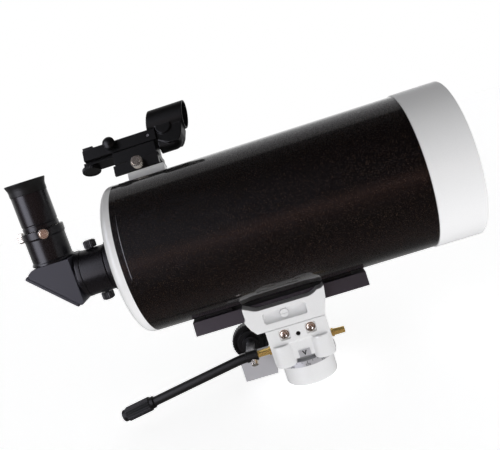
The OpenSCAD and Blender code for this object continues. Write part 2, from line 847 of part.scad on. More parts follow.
module focus_knob() color(black) at_focus() translate([-rear_len - focus_knob_gap, 0, 0])
  rotate([0, -90, 0]) difference() {
    union() {
      linear_extrude(focus_knob_len) polygon(rim(focus_knob_r, focus_knob_ribs, focus_knob_rib));
      rod_z(focus_knob_r - focus_cap_in, focus_knob_len, focus_knob_len + focus_cap_t);
    }
    rod_z(focus_screw_r, -over, focus_grip);
  }
module visual_back() color(black) at_tube() difference() {
  spin_x([[back_bore, -rear_len], [back_flange_r, -rear_len], [back_flange_r, back_step_x],
    [back_r - back_groove_d, back_step_x], [back_r - back_groove_d, back_step_x - back_groove_w],
    [back_r, back_step_x - back_groove_w], [back_r, back_end_x + back_edge], [back_r - back_edge, back_end_x],
    [back_bore, back_end_x]]);
  translate([back_screw_x, 0, 0]) rod_z(back_screw_r + fit, -back_r - over, back_r + over);
}
module back_screw(turn) at_tube() translate([back_screw_x, 0, 0]) rotate([turn, 0, 0])
  translate([0, 0, back_r + back_head_gap]) thumbscrew(back_head_r, back_head_h, back_ribs, back_screw_r,
    back_r + back_head_gap - back_bore - press_gap);
module back_screw_top() color(black) back_screw(0);
module back_screw_bottom() color(black) back_screw(180);
module dovetail_bar() color(bar_grey) difference() {
  slab(bar_x0, bar_x0 + bar_len) polygon([[-bar_w / 2, bar_z], [bar_w / 2, bar_z],
    [bar_top_w / 2, bar_top], [-bar_top_w / 2, bar_top]]);
  at_pads() {
    rod_z(screw_r + fit, bar_z - over, bar_top + over);
    rod_z(head_r + seat, bar_z - over, bar_z + head_sink + head_h);
  }
}
module bar_pads() color(black) difference() {
  at_pads() box(-pad_len / 2, pad_len / 2, -pad_w / 2, pad_w / 2, bar_top, bar_top + pad_h);
  at_pads() rod_z(screw_r + fit, bar_top - over, bar_top + pad_h + over);
  at_tube() rod_x(tube_r, 0, tube_len, $fn = 360);
}
module bar_screws() color(steel) at_pads() difference() {
  union() {
    rod_z(head_r, bar_z + head_sink, bar_z + head_sink + head_h);
    rod_z(screw_r, bar_z + head_sink, axis_z - tube_in + screw_past);
  }
  translate([0, 0, bar_z + head_sink - over]) cylinder(r = hex_r, h = hex_d + over, $fn = 6);
}

// diagonal and eyepiece

module diagonal_side() polygon([[diag_front_x, diag_top], [diag_axis_x - diag_flat, diag_top],
  [diag_axis_x - diag_knee, diag_top - diag_knee_drop], [diag_axis_x - diag_heel, diag_top - diag_heel_drop],
  [diag_axis_x - diag_back, diag_back - diag_axis_x - hyp],
  [diag_front_x - diag_toe, diag_toe - diag_front_x - hyp],
  [diag_front_x - diag_sole, -diag_bottom - diag_sole_drop], [diag_front_x, -diag_bottom]]);
module diagonal_body() color(black) difference() {
  at_tube() side(-diag_half, diag_half) diagonal_side();
  at_tube() rod_x(diag_bore, diag_axis_x, diag_front_x + over);
  at_holder() rod_z(diag_bore, 0, diag_top + over);
  at_holder() rotate([0, -mirror_turn, 0]) box(-mirror_pocket_l / 2, mirror_pocket_l / 2,
    -mirror_pocket_w / 2, mirror_pocket_w / 2, 0, pocket_depth + pocket_through);
}
module diagonal_mirror() color(mirror_silver) at_holder() rotate([0, -mirror_turn, 0])
  box(seat - mirror_pocket_l / 2, mirror_pocket_l / 2 - seat, seat - mirror_pocket_w / 2,
    mirror_pocket_w / 2 - seat, 0, pocket_depth);
module diagonal_cover() color(black) at_holder() rotate([0, -mirror_turn, 0])
  translate([0, 0, pocket_depth]) linear_extrude(cover_t) rounded(cover_l, 2 * diag_half, cover_round);
module diagonal_nose() color(black) at_tube() {
  spin_x([[nose_in, diag_front_x], [barrel_d / 2, diag_front_x], [barrel_d / 2, back_end_x + nose_len],
    [nose_in, back_end_x + nose_len]]);
  spin_x([[back_bore, diag_front_x], [nose_flange_r - nose_bevel, diag_front_x],
    [nose_flange_r, diag_front_x + nose_bevel], [nose_flange_r, back_end_x - nose_gap],
    [back_bore, back_end_x - nose_gap]]);
}
module eyepiece_holder() color(black) at_holder() difference() {
  rotate_extrude() polygon([[back_bore, diag_top], [holder_foot_r, diag_top],
    [holder_foot_r, diag_top + holder_foot_h], [holder_r, diag_top + holder_foot_h + holder_taper],
    [holder_r, holder_ring_z], [holder_ring_r, holder_ring_z + holder_ring_rise],
    [holder_ring_r, holder_top - holder_edge], [holder_ring_r - holder_edge, holder_top],
    [back_bore, holder_top]]);
  translate([0, 0, holder_screw_z]) for (a = [holder_rear_turn, holder_side_turn])
    rotate([0, 90, a]) rod_z(thin_screw_r + fit, 0, holder_ring_r + over);
}
module holder_screw(a) at_holder() translate([0, 0, holder_screw_z]) rotate([0, 90, a])
  translate([0, 0, holder_ring_r + holder_head_gap]) thumbscrew(holder_head_r, holder_head_h, holder_ribs,
    thin_screw_r, holder_ring_r + holder_head_gap - back_bore - press_gap);
module holder_screw_rear() color(steel) holder_screw(holder_rear_turn);
module holder_screw_side() color(steel) holder_screw(holder_side_turn);
module eyepiece_body() color(black) at_holder() translate([0, 0, holder_top + seat]) rotate_extrude()
  polygon([[barrel_in, 0], [eyepiece_r, 0], [eyepiece_r, band_z], [eyepiece_r - band_d, band_z + band_slope],
    [eyepiece_r - band_d, band_z + band_slope + band_w], [eyepiece_r, band_z + 2 * band_slope + band_w],
    [eyepiece_r, eyepiece_len - cup_h], [eyepiece_r - neck_in, eyepiece_len - cup_h],
    [eyepiece_r - neck_in, eyepiece_len - eye_under], [eye_r, eyepiece_len - eye_under],
    [eye_r, eyepiece_len - eye_seat], [barrel_in, eyepiece_len - eye_seat - eye_taper]]);
module eyepiece_barrel() color(steel) at_holder()
  ring(barrel_d / 2, barrel_in, holder_top + seat - barrel_len, holder_top + seat);
module eyecup() color(black) at_holder() translate([0, 0, eyepiece_top - cup_h]) rotate_extrude()
  polygon([[eyepiece_r - neck_in + fit, 0], [eyepiece_r + cup_wall, 0],
    [eyepiece_r + cup_wall, cup_h - cup_flare],
    [cup_r, cup_h - cup_edge], [cup_r - cup_lip, cup_h], [eyepiece_r - cup_mouth, cup_h - cup_mouth],
    [eyepiece_r - neck_in + fit, cup_h - eye_under]]);
module eye_lens() color(glass) at_holder()
  rod_z(eye_r, eyepiece_top - 2 * eye_lens_t, eyepiece_top - eye_lens_t);
module field_lens() color(glass) at_holder()
  rod_z(barrel_in, holder_top - field_lens_in, holder_top - field_lens_in + field_lens_t);

// finder

module finder_shoe() color(white) at_finder() difference() {
  union() {
    box(shoe_x0, shoe_x1, -shoe_half, shoe_half, tube_r - shoe_sink, shoe_top);
    box(shoe_x0, shoe_x1 + ear_len, -ear_half, ear_half, tube_r - shoe_sink, tube_r + ear_t);
    slab(shoe_x0, rail_neck_x1) polygon([[-rail_neck, shoe_top - over], [rail_neck, shoe_top - over],
      [rail_neck, foot_bottom], [rail_head, rail_top], [-rail_head, rail_top], [-rail_neck, foot_bottom]]);
  }
  rod_x(tube_r, shoe_x0 - over, shoe_x1 + ear_len + over);
  at_ear() rod_z(shoe_screw_r + fit, tube_r - over, tube_r + ear_t + over);
  at_rail_screw() {
    rod_z(shoe_screw_r + fit, tube_r - over, rail_top);
    rod_z(shoe_head_r + seat, rail_top - shoe_head_sink, rail_top + over);
  }
}
module shoe_screw(seat_z) {
  rod_z(shoe_head_r, seat_z, seat_z + shoe_head_h);
  rod_z(shoe_screw_r, tube_in - screw_past, seat_z);
}
module shoe_screws() color(black) at_finder() {
  at_ear() shoe_screw(tube_r + ear_t);
  at_rail_screw() shoe_screw(rail_top - shoe_head_sink);
}
module finder_foot() color(black) at_finder() difference() {
  union() {
    box(foot_x0, foot_x1, -foot_half, foot_lip_t - foot_half, shoe_top + foot_lip_gap,
      foot_bottom + foot_flange);
    box(shoe_x0, foot_x1, -foot_half, foot_half, foot_bottom, foot_bottom + foot_flange);
    box(shoe_x0, foot_x1, -bracket_half, bracket_half, foot_bottom, foot_top);
  }
  slab(shoe_x0 - over, foot_x1 + over) polygon([[-rail_neck - slip, foot_bottom - over],
    [rail_neck + slip, foot_bottom - over], [rail_neck + slip, foot_bottom],
    [rail_head + slip, rail_top + slip],
    [-rail_head - slip, rail_top + slip], [-rail_neck - slip, foot_bottom]]);
  translate([shoe_clamp_x, 0, shoe_clamp_h]) rod_y(thin_screw_r + fit, -foot_half - over, 0);
  translate([az_wheel_x, 0, foot_bottom + az_wheel_h]) rod_y(thin_screw_r + fit, 0, foot_half + over);
  translate([az_pivot_x, 0, 0]) rod_z(az_pivot_r + fit, foot_top - az_pivot_d - over, foot_top + over);
}
module shoe_clamp() color(steel) at_finder()
  translate([shoe_clamp_x, -foot_half - shoe_clamp_gap, shoe_clamp_h]) rotate([90, 0, 0])
    thumbscrew(shoe_clamp_r, shoe_clamp_len, shoe_clamp_ribs, thin_screw_r,
      foot_half - rail_head - press_gap);
module azimuth_wheel() color(black) at_finder()
  translate([az_wheel_x, foot_half + shoe_clamp_gap, foot_bottom + az_wheel_h]) rotate([-90, 0, 0])
    thumbscrew(az_wheel_r, az_wheel_len, shoe_clamp_ribs, thin_screw_r,
      foot_half - rail_head - press_gap);
module finder_bracket() color(black) at_finder() difference() {
  union() {
    box(bracket_x0, rail_x1 - bracket_short, -bracket_half, bracket_half, bracket_bottom, seam_h);
    box(rail_x0 - tongue_over, bracket_x0 + tongue_in, -tongue_half, tongue_half, seam_h - tongue_t, seam_h);
    translate([az_pivot_x, 0, foot_top - az_pivot_d]) rod_z(az_pivot_r, 0, az_pivot_h);
    box(pivot_x - knuckle_r, pivot_x + knuckle_r, -knuckle_half, knuckle_half, seam_h - tongue_t, pivot_h);
    at_pivot() rod_y(knuckle_r, -knuckle_half, knuckle_half);
  }
  at_pivot() rod_y(pivot_r + fit, -knuckle_half - over, knuckle_half + over);
  translate([alt_x, 0, 0]) rod_z(alt_stud_r + fit, seam_h - tongue_t - over, seam_h + over);
}
module altitude_wheel() color(black) at_finder() translate([alt_x, 0, seam_h - tongue_t - slip - alt_h]) {
  linear_extrude(alt_h) polygon(rim(alt_r, alt_ribs, alt_rib));
  rod_z(alt_stud_r, alt_h, alt_h + tongue_t + slip);
}
module finder_rail() color(black) at_finder() difference() {
  union() {
    box(rail_x0, rail_x1, -rail_half, rail_half, rail_bottom, rail_high - rail_step);
    box(rail_x0, rail_x1, rail_step - rail_half, rail_half - rail_step, rail_bottom, rail_high);
    box(rail_x0, rail_x0 + sight_len, rail_step - rail_half, rail_half - rail_step, rail_bottom,
      rail_high + sight_h);
  }
  at_switch() rod_z(switch_stem_r + fit, -switch_room, over);
  box(pivot_x - knuckle_room, pivot_x + knuckle_room, -knuckle_half - slip, knuckle_half + slip,
    rail_bottom - over, pivot_h + knuckle_room);
  at_pivot() rod_y(pivot_r + fit, -rail_half - over, rail_half + over);
}
module finder_pivot() color(steel) at_finder() at_pivot()
  rod_y(pivot_r, pivot_in - rail_half, rail_half - pivot_in);
module finder_hood() color(black) at_finder() difference() {
  union() {
    translate([0, 0, hood_h]) rod_x(hood_r, hood_x0, hood_x1);
    side(-web_half, web_half) polygon([[rail_x1, rail_bottom], [rail_x1, hood_h], [web_top_x, hood_h],
      [web_front_x, hood_h - web_front_drop], [web_low_x, web_low_h], [chin_x, chin_h],
      [belly_x1, belly_bottom], [belly_x0, belly_bottom]]);
    translate([0, 0, belly_h]) rod_x(belly_r, rail_x1, belly_x);
    translate([belly_x, 0, belly_h]) sphere(belly_r);
    translate([boss_x, 0, boss_h]) rod_y(hood_boss_r, -hood_boss_half, hood_boss_half);
  }
  translate([0, 0, hood_h]) rod_x(hood_in, hood_x0 - over, hood_x1 + over);
  translate([hood_front_x, 0, hood_h]) rotate([0, hood_front_turn, 0])
    box(0, hood_cutter, -hood_cutter, hood_cutter, -hood_cutter, hood_cutter);
  translate([hood_rear_x, 0, hood_h]) rotate([0, hood_rear_turn, 0])
    box(-hood_cutter, 0, -hood_cutter, hood_cutter, -hood_cutter, hood_cutter);
  box(hood_x0 - over, rail_x1, -hood_cutter, hood_cutter, 0, rail_high);
}
module finder_window() color(glass) at_finder() translate([0, 0, hood_h])
  rod_x(hood_in, window_x, window_x + window_t);
module finder_switch() color(black) at_finder() at_switch() translate([0, 0, slip]) difference() {
  union() {
    rod_z(switch_r, 0, switch_h);
    intersection() {
      translate([0, 0, -switch_dome_drop]) sphere(switch_dome_r);
      rod_z(switch_r, 0, switch_dome_r);
    }
    rod_z(switch_stem_r, -switch_stem, switch_h);
  }
  box(-switch_r - over, switch_r + over, -switch_slot_w / 2, switch_slot_w / 2,
    switch_dome_r - switch_dome_drop - switch_slot_d, switch_dome_r);
}

dec_housing();
dec_shaft();
shaft_nut();
setting_circle();
worm_wheel();
clamp_collar();
clamp_knob();
clamp_bolt();
saddle();
worm_block();
block_screws();
pointer_plate();
jaw_screw();
slow_cable();
worm();
cable_sleeve();
sleeve_screw();
cable_handle();
bar_clamp();
tube();
rear_cell();
front_cell();
corrector();
lens_retainer();
secondary_baffle();
baffle_tube();
visual_back();
dovetail_bar();
bar_pads();
bar_screws();
finder_shoe();
shoe_screws();
primary_mirror();
mirror_cell();
focus_knob();
focus_screw();
back_screw_top();
back_screw_bottom();
diagonal_body();
diagonal_nose();
diagonal_cover();
diagonal_mirror();
eyepiece_holder();
holder_screw_rear();
holder_screw_side();
eyepiece_body();
eyepiece_barrel();
eyecup();
eye_lens();
field_lens();
shoe_clamp();
finder_foot();
finder_bracket();
finder_rail();
finder_hood();
finder_window();
finder_switch();
altitude_wheel();
azimuth_wheel();
finder_pivot();
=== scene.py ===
# %% [markdown]
# # A maksutov telescope on its declination head
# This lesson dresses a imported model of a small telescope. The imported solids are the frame: they hold
# the true sizes and the joints, and nothing here moves them. Every piece below is turned, cast or
# moulded in mesh code, the way its real counterpart is made, from sizes that the frame gives.

# %% Load the frame
import json
import math

import bmesh
import bpy
from mathutils import Matrix, Vector


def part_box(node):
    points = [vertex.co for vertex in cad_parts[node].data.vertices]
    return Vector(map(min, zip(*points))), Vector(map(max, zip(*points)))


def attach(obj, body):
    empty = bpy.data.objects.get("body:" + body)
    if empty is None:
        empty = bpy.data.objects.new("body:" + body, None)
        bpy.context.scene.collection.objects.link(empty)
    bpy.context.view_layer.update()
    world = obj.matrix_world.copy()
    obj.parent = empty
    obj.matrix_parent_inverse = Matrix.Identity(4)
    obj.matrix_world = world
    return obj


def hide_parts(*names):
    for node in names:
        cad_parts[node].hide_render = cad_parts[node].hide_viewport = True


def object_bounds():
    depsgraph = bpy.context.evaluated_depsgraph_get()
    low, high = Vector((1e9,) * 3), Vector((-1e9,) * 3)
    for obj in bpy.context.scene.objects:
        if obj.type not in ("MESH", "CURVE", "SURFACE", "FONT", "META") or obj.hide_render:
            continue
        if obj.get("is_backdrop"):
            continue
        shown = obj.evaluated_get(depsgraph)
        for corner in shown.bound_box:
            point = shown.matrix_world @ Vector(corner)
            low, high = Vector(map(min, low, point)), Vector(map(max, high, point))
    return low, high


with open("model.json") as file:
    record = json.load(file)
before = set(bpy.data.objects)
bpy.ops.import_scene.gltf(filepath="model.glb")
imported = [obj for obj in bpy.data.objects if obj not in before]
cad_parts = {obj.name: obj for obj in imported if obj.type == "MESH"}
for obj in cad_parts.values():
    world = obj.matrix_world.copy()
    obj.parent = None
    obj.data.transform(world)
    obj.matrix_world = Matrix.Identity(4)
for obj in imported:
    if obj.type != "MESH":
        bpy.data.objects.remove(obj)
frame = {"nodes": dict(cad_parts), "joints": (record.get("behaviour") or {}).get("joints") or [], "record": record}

MM = 0.001
scene = bpy.context.scene
scene.view_settings.view_transform = "Standard"
cad_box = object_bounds()
record = frame["record"]
body_of = {node: body for body, nodes in record["behaviour"]["bodies"].items() for node in nodes}
slot_of = {part["node"]: part["material_slot"] for part in record["subparts"]}
joint = {j["name"]: j for j in frame["joints"]}

# %% [markdown]
# ## The tube's own measures
# Most pieces sit on the axis of the tube, so its line and its two seams are read off first. A box gives
# a round piece's radius and axis directly, which is safer than typing them again.

# %% Read the tube's axis and seams
def span(node):
    """Lowest corner, highest corner and middle of a node's box."""
    low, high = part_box(node)
    return low, high, (low + high) / 2


tube_low, tube_high, tube_mid = span("tube")
rear_seam, front_seam = tube_low.x, tube_high.x
axis_z = tube_mid.z
tube_r = (tube_high.y - tube_low.y) / 2
print(f"tube: {2 * tube_r / MM:.1f} mm across, axis {axis_z / MM:.1f} mm up")

# %% [markdown]
# ## The camera
# The photograph was taken a little above the tube, close enough for the perspective to show, and with
# the camera rolled so that the tube climbs to the right. A camera can be aimed by a constraint, but the
# roll is then lost, so its three axes are worked out from pan, tilt and roll and set as one matrix.

# %% Camera
IMAGE_WIDTH = 500
FOCAL_PIXELS = 632.8
SENSOR = 36.0
STAND_OFF = 596.931 * MM
ALONG_TUBE = 149.572 * MM
LOOK_DOWN = math.radians(9)
PAN, TILT, ROLL = 0.0658, -0.0043, -0.3024


def lean(v):
    """A direction given square to the photograph's tube, turned down onto the frame's axes."""
    c, s = math.cos(LOOK_DOWN), math.sin(LOOK_DOWN)
    return Vector((v.x, v.y * c + v.z * s, -v.y * s + v.z * c))


ahead = Vector((-math.sin(PAN) * math.cos(TILT), math.cos(PAN) * math.cos(TILT), math.sin(TILT)))
right = Vector((math.cos(PAN), math.sin(PAN), 0))
up = right.cross(ahead)
level, plumb = right, up
right = level * math.cos(ROLL) + plumb * math.sin(ROLL)
up = -level * math.sin(ROLL) + plumb * math.cos(ROLL)
eye = Vector((rear_seam + ALONG_TUBE, 0, axis_z)) + lean(Vector((0, -STAND_OFF, 0)))
camera = bpy.data.objects.new("camera", bpy.data.cameras.new("camera"))
scene.collection.objects.link(camera)
axes = [lean(v) for v in (right, up, -ahead)]
camera.matrix_world = Matrix.Translation(eye) @ Matrix(axes).transposed().to_4x4()
camera.data.sensor_fit = "HORIZONTAL"
camera.data.sensor_width = SENSOR
camera.data.lens = SENSOR * FOCAL_PIXELS / IMAGE_WIDTH
camera.data.clip_start = 0.01
scene.camera = camera
print(f"camera: {camera.data.lens:.1f} mm lens at", [round(c, 3) for c in eye])

# %% [markdown]
# ## Finishes as node materials
# A real finish is never one flat colour: paint has a faint orange peel, anodising shows the cutter's
# marks, and moulded plastic has a fine grain. Image textures could hold that, but noise in the piece's
# own coordinates needs no unwrapping and keeps its scale in millimetres. One function lays the same
# three effects under every finish: a small change of colour, of roughness and of height.

# %% A function for finishes
finish = {}


def new_finish(slot, dark, light, rough, metal=0.0, grain=0.5, stretch=(1, 1, 1), bump=0.1, spread=0.06):
    """A material for one slot; grain is the size of its noise in millimetres, stretched along some axes."""
    mat = bpy.data.materials.new(slot)
    mat.use_nodes = True
    nodes, links = mat.node_tree.nodes, mat.node_tree.links
    shader = nodes["Principled BSDF"]
    shader.inputs["Metallic"].default_value = metal
    coords = nodes.new("ShaderNodeTexCoord")
    mapping = nodes.new("ShaderNodeMapping")
    mapping.inputs["Scale"].default_value = stretch
    noise = nodes.new("ShaderNodeTexNoise")
    noise.inputs["Scale"].default_value = 1 / (grain * MM)
    noise.inputs["Detail"].default_value = 3
    tint = nodes.new("ShaderNodeMix")
    tint.data_type = "RGBA"
    tint.inputs["A"].default_value = (*dark, 1)
    tint.inputs["B"].default_value = (*light, 1)
    sheen = nodes.new("ShaderNodeMapRange")
    sheen.inputs["To Min"].default_value = rough - spread
    sheen.inputs["To Max"].default_value = rough + spread
    relief = nodes.new("ShaderNodeBump")
    relief.inputs["Strength"].default_value = bump
    relief.inputs["Distance"].default_value = 0.1 * MM
    links.new(coords.outputs["Object"], mapping.inputs["Vector"])
    links.new(mapping.outputs["Vector"], noise.inputs["Vector"])
    links.new(noise.outputs["Fac"], tint.inputs["Factor"])
    links.new(tint.outputs["Result"], shader.inputs["Base Color"])
    links.new(noise.outputs["Fac"], sheen.inputs["Value"])
    links.new(sheen.outputs["Result"], shader.inputs["Roughness"])
    links.new(noise.outputs["Fac"], relief.inputs["Height"])
    links.new(relief.outputs["Normal"], shader.inputs["Normal"])
    finish[slot] = mat
    return mat, shader


print("a finish mixes colour, roughness and height; so far there are", len(finish))

# %% [markdown]
# ## The slow-motion cable
# A flexible cable turns the worm from where the observer stands. It is a wound steel core in a rubber
# jacket, stiff enough to stand out from its sleeve and only sag a little. A mesh tube would do, but one
# curve with a round bevel keeps a true centreline, so its length can be measured.

# %% Rubber, and the cable as one curve
mat, shader = new_finish("rubber", (0.005, 0.005, 0.005), (0.010, 0.010, 0.010), 0.42, grain=0.7, bump=0.2)
shader.inputs["Specular IOR Level"].default_value = 0.28

CABLE_RUN = 97 * MM
CABLE_SLOPE = 0.17
CABLE_EASE = 4 * MM
CABLE_STEPS = 20
sleeve_low, sleeve_high, sleeve_mid = span("cable_sleeve")
cable_low, cable_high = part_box("slow_cable")
cable_exit = Vector((sleeve_low.x, sleeve_mid.y, sleeve_mid.z))
cable_d = cable_high.y - cable_low.y


def cable_point(t):
    """A point of the cable's middle line, t from 0 at the sleeve to 1 at the handle."""
    run = CABLE_RUN * t
    fall = CABLE_SLOPE * (run - CABLE_EASE * (1 - math.exp(-run / CABLE_EASE)))
    return cable_exit + Vector((-run, 0, -fall))


route = [cable_point(i / CABLE_STEPS) for i in range(CABLE_STEPS + 1)]
line = bpy.data.curves.new("slow_motion_cable", "CURVE")
line.dimensions = "3D"
line.bevel_depth = cable_d / 2
line.bevel_resolution = 8
line.use_fill_caps = True
spline = line.splines.new("POLY")
spline.points.add(CABLE_STEPS)
for point, place in zip(spline.points, route):
    point.co = (*place, 1)
spline.use_smooth = True
line.materials.append(finish["rubber"])
cable = bpy.data.objects.new("slow_motion_cable", line)
scene.collection.objects.link(cable)
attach(cable, body_of["slow_cable"])
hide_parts("slow_cable")

# %% [markdown]
# ## The other finishes
# The castings are sprayed white, the bar is anodised a violet grey, the small fittings are black
# anodised or plated, and the finder is moulded plastic. Each gets its own colours and its own grain:
# long streaks where a cutter or a die has drawn along the metal, and fine round grain where paint or
# plastic has set.

# %% Paint, metals and plastic
ROUND = (1, 1, 1)
DRAWN_X = (0.03, 1, 1)
TURNED = (1, 1, 0.2)
for slot, dark, light, rough, metal, grain, stretch, bump in (
    ("white_paint", (0.76, 0.76, 0.77), (0.82, 0.82, 0.825), 0.34, 0.0, 0.9, ROUND, 0.05),
    ("bar_anodised", (0.034, 0.028, 0.034), (0.052, 0.043, 0.051), 0.42, 0.35, 0.35, DRAWN_X, 0.12),
    ("black_anodised", (0.004, 0.004, 0.005), (0.009, 0.008, 0.010), 0.27, 0.2, 0.5, ROUND, 0.05),
    ("diagonal_black", (0.016, 0.016, 0.021), (0.028, 0.027, 0.036), 0.50, 0.1, 0.35, ROUND, 0.18),
    ("black_plastic", (0.002, 0.002, 0.002), (0.005, 0.005, 0.005), 0.36, 0.0, 0.45, ROUND, 0.14),
    ("steel", (0.48, 0.48, 0.50), (0.66, 0.66, 0.68), 0.28, 1.0, 0.3, TURNED, 0.05),
    ("chrome", (0.82, 0.76, 0.67), (0.90, 0.85, 0.76), 0.18, 0.95, 1.2, TURNED, 0.01),
    ("silver", (0.46, 0.46, 0.48), (0.58, 0.58, 0.61), 0.36, 0.35, 0.3, ROUND, 0.05),
    ("brass", (0.80, 0.53, 0.15), (0.94, 0.69, 0.26), 0.20, 0.75, 0.3, TURNED, 0.05),
    ("mirror", (0.86, 0.87, 0.88), (0.92, 0.93, 0.94), 0.04, 1.0, 4.0, ROUND, 0.0),
):
    spread = 0.03 if slot == "mirror" else 0.06
    new_finish(slot, dark, light, rough, metal, grain, stretch, bump, spread)
shader = finish["white_paint"].node_tree.nodes["Principled BSDF"]
shader.inputs["Coat Weight"].default_value = 0.35
shader.inputs["Coat Roughness"].default_value = 0.12
shader = finish["black_plastic"].node_tree.nodes["Principled BSDF"]
shader.inputs["Specular IOR Level"].default_value = 0.26
print("finishes:", ", ".join(finish))

# %% [markdown]
# ## The flaked paint of the tube
# The tube is gloss black with a fine gold flake under a clear coat. The flake could be drawn as bright
# dots, but real flakes are small mirrors that each lie at their own angle. So small cells pick a few
# flakes at random, give those a gold brown colour, and tip the normal under the coat a little
# differently in each cell.

# %% Flaked paint
FLAKE_SIZE = 0.30 * MM
FLAKE_SHARE = 0.06
FLAKE_TIP = 0.55
FLAKE_GOLD = (0.075, 0.044, 0.026)
PAINT_DARK, PAINT_LIGHT = (0.0008, 0.0006, 0.0006), (0.0014, 0.0010, 0.0010)
mat, shader = new_finish("tube_paint", PAINT_DARK, PAINT_LIGHT, 0.35, grain=30, bump=0)
nodes, links = mat.node_tree.nodes, mat.node_tree.links
base = shader.inputs["Base Color"].links[0].from_socket
coords = nodes["Texture Coordinate"]
cells = nodes.new("ShaderNodeTexVoronoi")
cells.inputs["Scale"].default_value = 1 / FLAKE_SIZE
links.new(coords.outputs["Object"], cells.inputs["Vector"])
pick = nodes.new("ShaderNodeSeparateColor")
links.new(cells.outputs["Color"], pick.inputs["Color"])
chosen = nodes.new("ShaderNodeMapRange")
chosen.inputs["From Min"].default_value = 1 - FLAKE_SHARE
chosen.inputs["From Max"].default_value = 1
links.new(pick.outputs["Red"], chosen.inputs["Value"])
gold = nodes.new("ShaderNodeMix")
gold.data_type = "RGBA"
gold.inputs["B"].default_value = (*FLAKE_GOLD, 1)
links.new(chosen.outputs["Result"], gold.inputs["Factor"])
links.new(base, gold.inputs["A"])
links.new(gold.outputs["Result"], shader.inputs["Base Color"])
normal = nodes.new("ShaderNodeNewGeometry")
tip = nodes.new("ShaderNodeVectorMath")
tip.operation = "MULTIPLY_ADD"
tip.inputs[1].default_value = (FLAKE_TIP, FLAKE_TIP, FLAKE_TIP)
tip.inputs[2].default_value = (-FLAKE_TIP / 2, -FLAKE_TIP / 2, -FLAKE_TIP / 2)
links.new(cells.outputs["Color"], tip.inputs[0])
tipped = nodes.new("ShaderNodeVectorMath")
links.new(normal.outputs["Normal"], tipped.inputs[0])
links.new(tip.outputs["Vector"], tipped.inputs[1])
unit = nodes.new("ShaderNodeVectorMath")
unit.operation = "NORMALIZE"
links.new(tipped.outputs["Vector"], unit.inputs[0])
links.new(unit.outputs["Vector"], shader.inputs["Normal"])
shader.inputs["Specular IOR Level"].default_value = 0.1
shader.inputs["Coat Weight"].default_value = 1.0
shader.inputs["Coat Roughness"].default_value = 0.02
print("flake cells of", FLAKE_SIZE / MM, "mm")

# %% [markdown]
# ## Coated glass
# The lens and the windows are clear glass with a faint coating. A transparent mix renders fast, but
# real glass bends what is behind it, so the shader's own transmission is used, with the coating as a
# slight tint.

# %% Glass
CLEAR, COATED = (0.90, 0.96, 0.94), (0.94, 0.98, 0.97)
mat, shader = new_finish("glass", CLEAR, COATED, 0.03, grain=8, bump=0, spread=0.01)
shader.inputs["Transmission Weight"].default_value = 1.0
shader.inputs["IOR"].default_value = 1.5
print("glass with index", shader.inputs["IOR"].default_value)

# %% [markdown]
# ## A lathe
# Most of a telescope is turned, so one function spins a closed outline of (radius, height) pairs about
# an axis. A screw modifier could spin it too, but ribs would then be another step: here a third number
# on a pair cuts ribs of that depth there, as on a thumbscrew's head. Another function rounds the
# outline's corners first, as a file does on the real lathe.

# %% Lathe
STEPS = 192


def soften(outline, radius, steps=3):
    """The closed outline with each corner rounded, by up to that radius; a corner on the axis stays."""
    rounded = []
    for i, corner in enumerate(outline):
        before, here, after = (Vector(outline[k][:2]) for k in (i - 1, i, (i + 1) % len(outline)))
        cut = min(radius, 0.45 * (before - here).length, 0.45 * (after - here).length)
        if here.x <= 0 or len(corner) > 2 or cut < 0.01 * MM:
            rounded.append(corner)
            continue
        start = here + (before - here).normalized() * cut
        end = here + (after - here).normalized() * cut
        for s in range(steps + 1):
            t = s / steps
            rounded.append(tuple(start.lerp(here, t).lerp(here.lerp(end, t), t)))
    return rounded


def lathe(outline, place, steps=STEPS, ribs=0):
    """A bmesh spun from (radius, height[, rib depth]) pairs about the z axis of the matrix place."""
    bm = bmesh.new()
    rings = []
    for radius, height, *depth in outline:
        ring = []
        for k in range(steps):
            angle = 2 * math.pi * k / steps
            r = radius - (depth[0] * (0.5 - 0.5 * math.cos(ribs * angle)) if depth else 0)
            ring.append(bm.verts.new((r * math.cos(angle), r * math.sin(angle), height)))
        rings.append(ring)
    for lower, upper in zip(rings, rings[1:] + rings[:1]):
        if lower[0].co.xy.length + upper[0].co.xy.length == 0:
            continue
        for k in range(steps):
            n = (k + 1) % steps
            bm.faces.new((lower[k], lower[n], upper[n], upper[k]))
    bmesh.ops.remove_doubles(bm, verts=bm.verts, dist=0.001 * MM)
    bmesh.ops.transform(bm, matrix=place, verts=bm.verts)
    bmesh.ops.recalc_face_normals(bm, faces=bm.faces)
    return bm


print("lathe with", STEPS, "steps round")

# %% [markdown]
# ## Where the lathe stands
# Most turned pieces lie along the tube, some stand upright over the diagonal, and the block's screws
# point into the head. A piece could be spun upright and turned later, but an object with a turn of its
# own is harder to measure, so the lathe itself is set on the axis by a matrix.

# %% Places for the lathe
def along_x(x, y=0.0, z=axis_z):
    """The place of a lathe whose axis runs to the front, with its zero at x."""
    return Matrix.Translation((x, y, z)) @ Matrix.Rotation(math.radians(90), 4, "Y")


def upright(x, y, z):
    """The place of a lathe that stands up at that point."""
    return Matrix.Translation((x, y, z))


def facing_front(x, y, z):
    """The place of a lathe whose axis runs from the front of the head into it."""
    return Matrix.Translation((x, y, z)) @ Matrix.Rotation(math.radians(-90), 4, "X")


print("the tube's lathe stands at", [round(c / MM, 1) for c in along_x(rear_seam).translation], "mm")

# %% [markdown]
# ## Pieces that stand for the frame's solids
# A finished piece takes the place of one solid: it rides on the same body, so it moves with the same
# joints, and it has the finish that the record names. Smooth shading alone would make a flat end look
# like a dome, so sharp corners are kept and the normals are weighted by the size of the faces. Small
# extras, such as ink, only ride along.

# %% Pieces that stand for nodes
SHARP = math.radians(32)


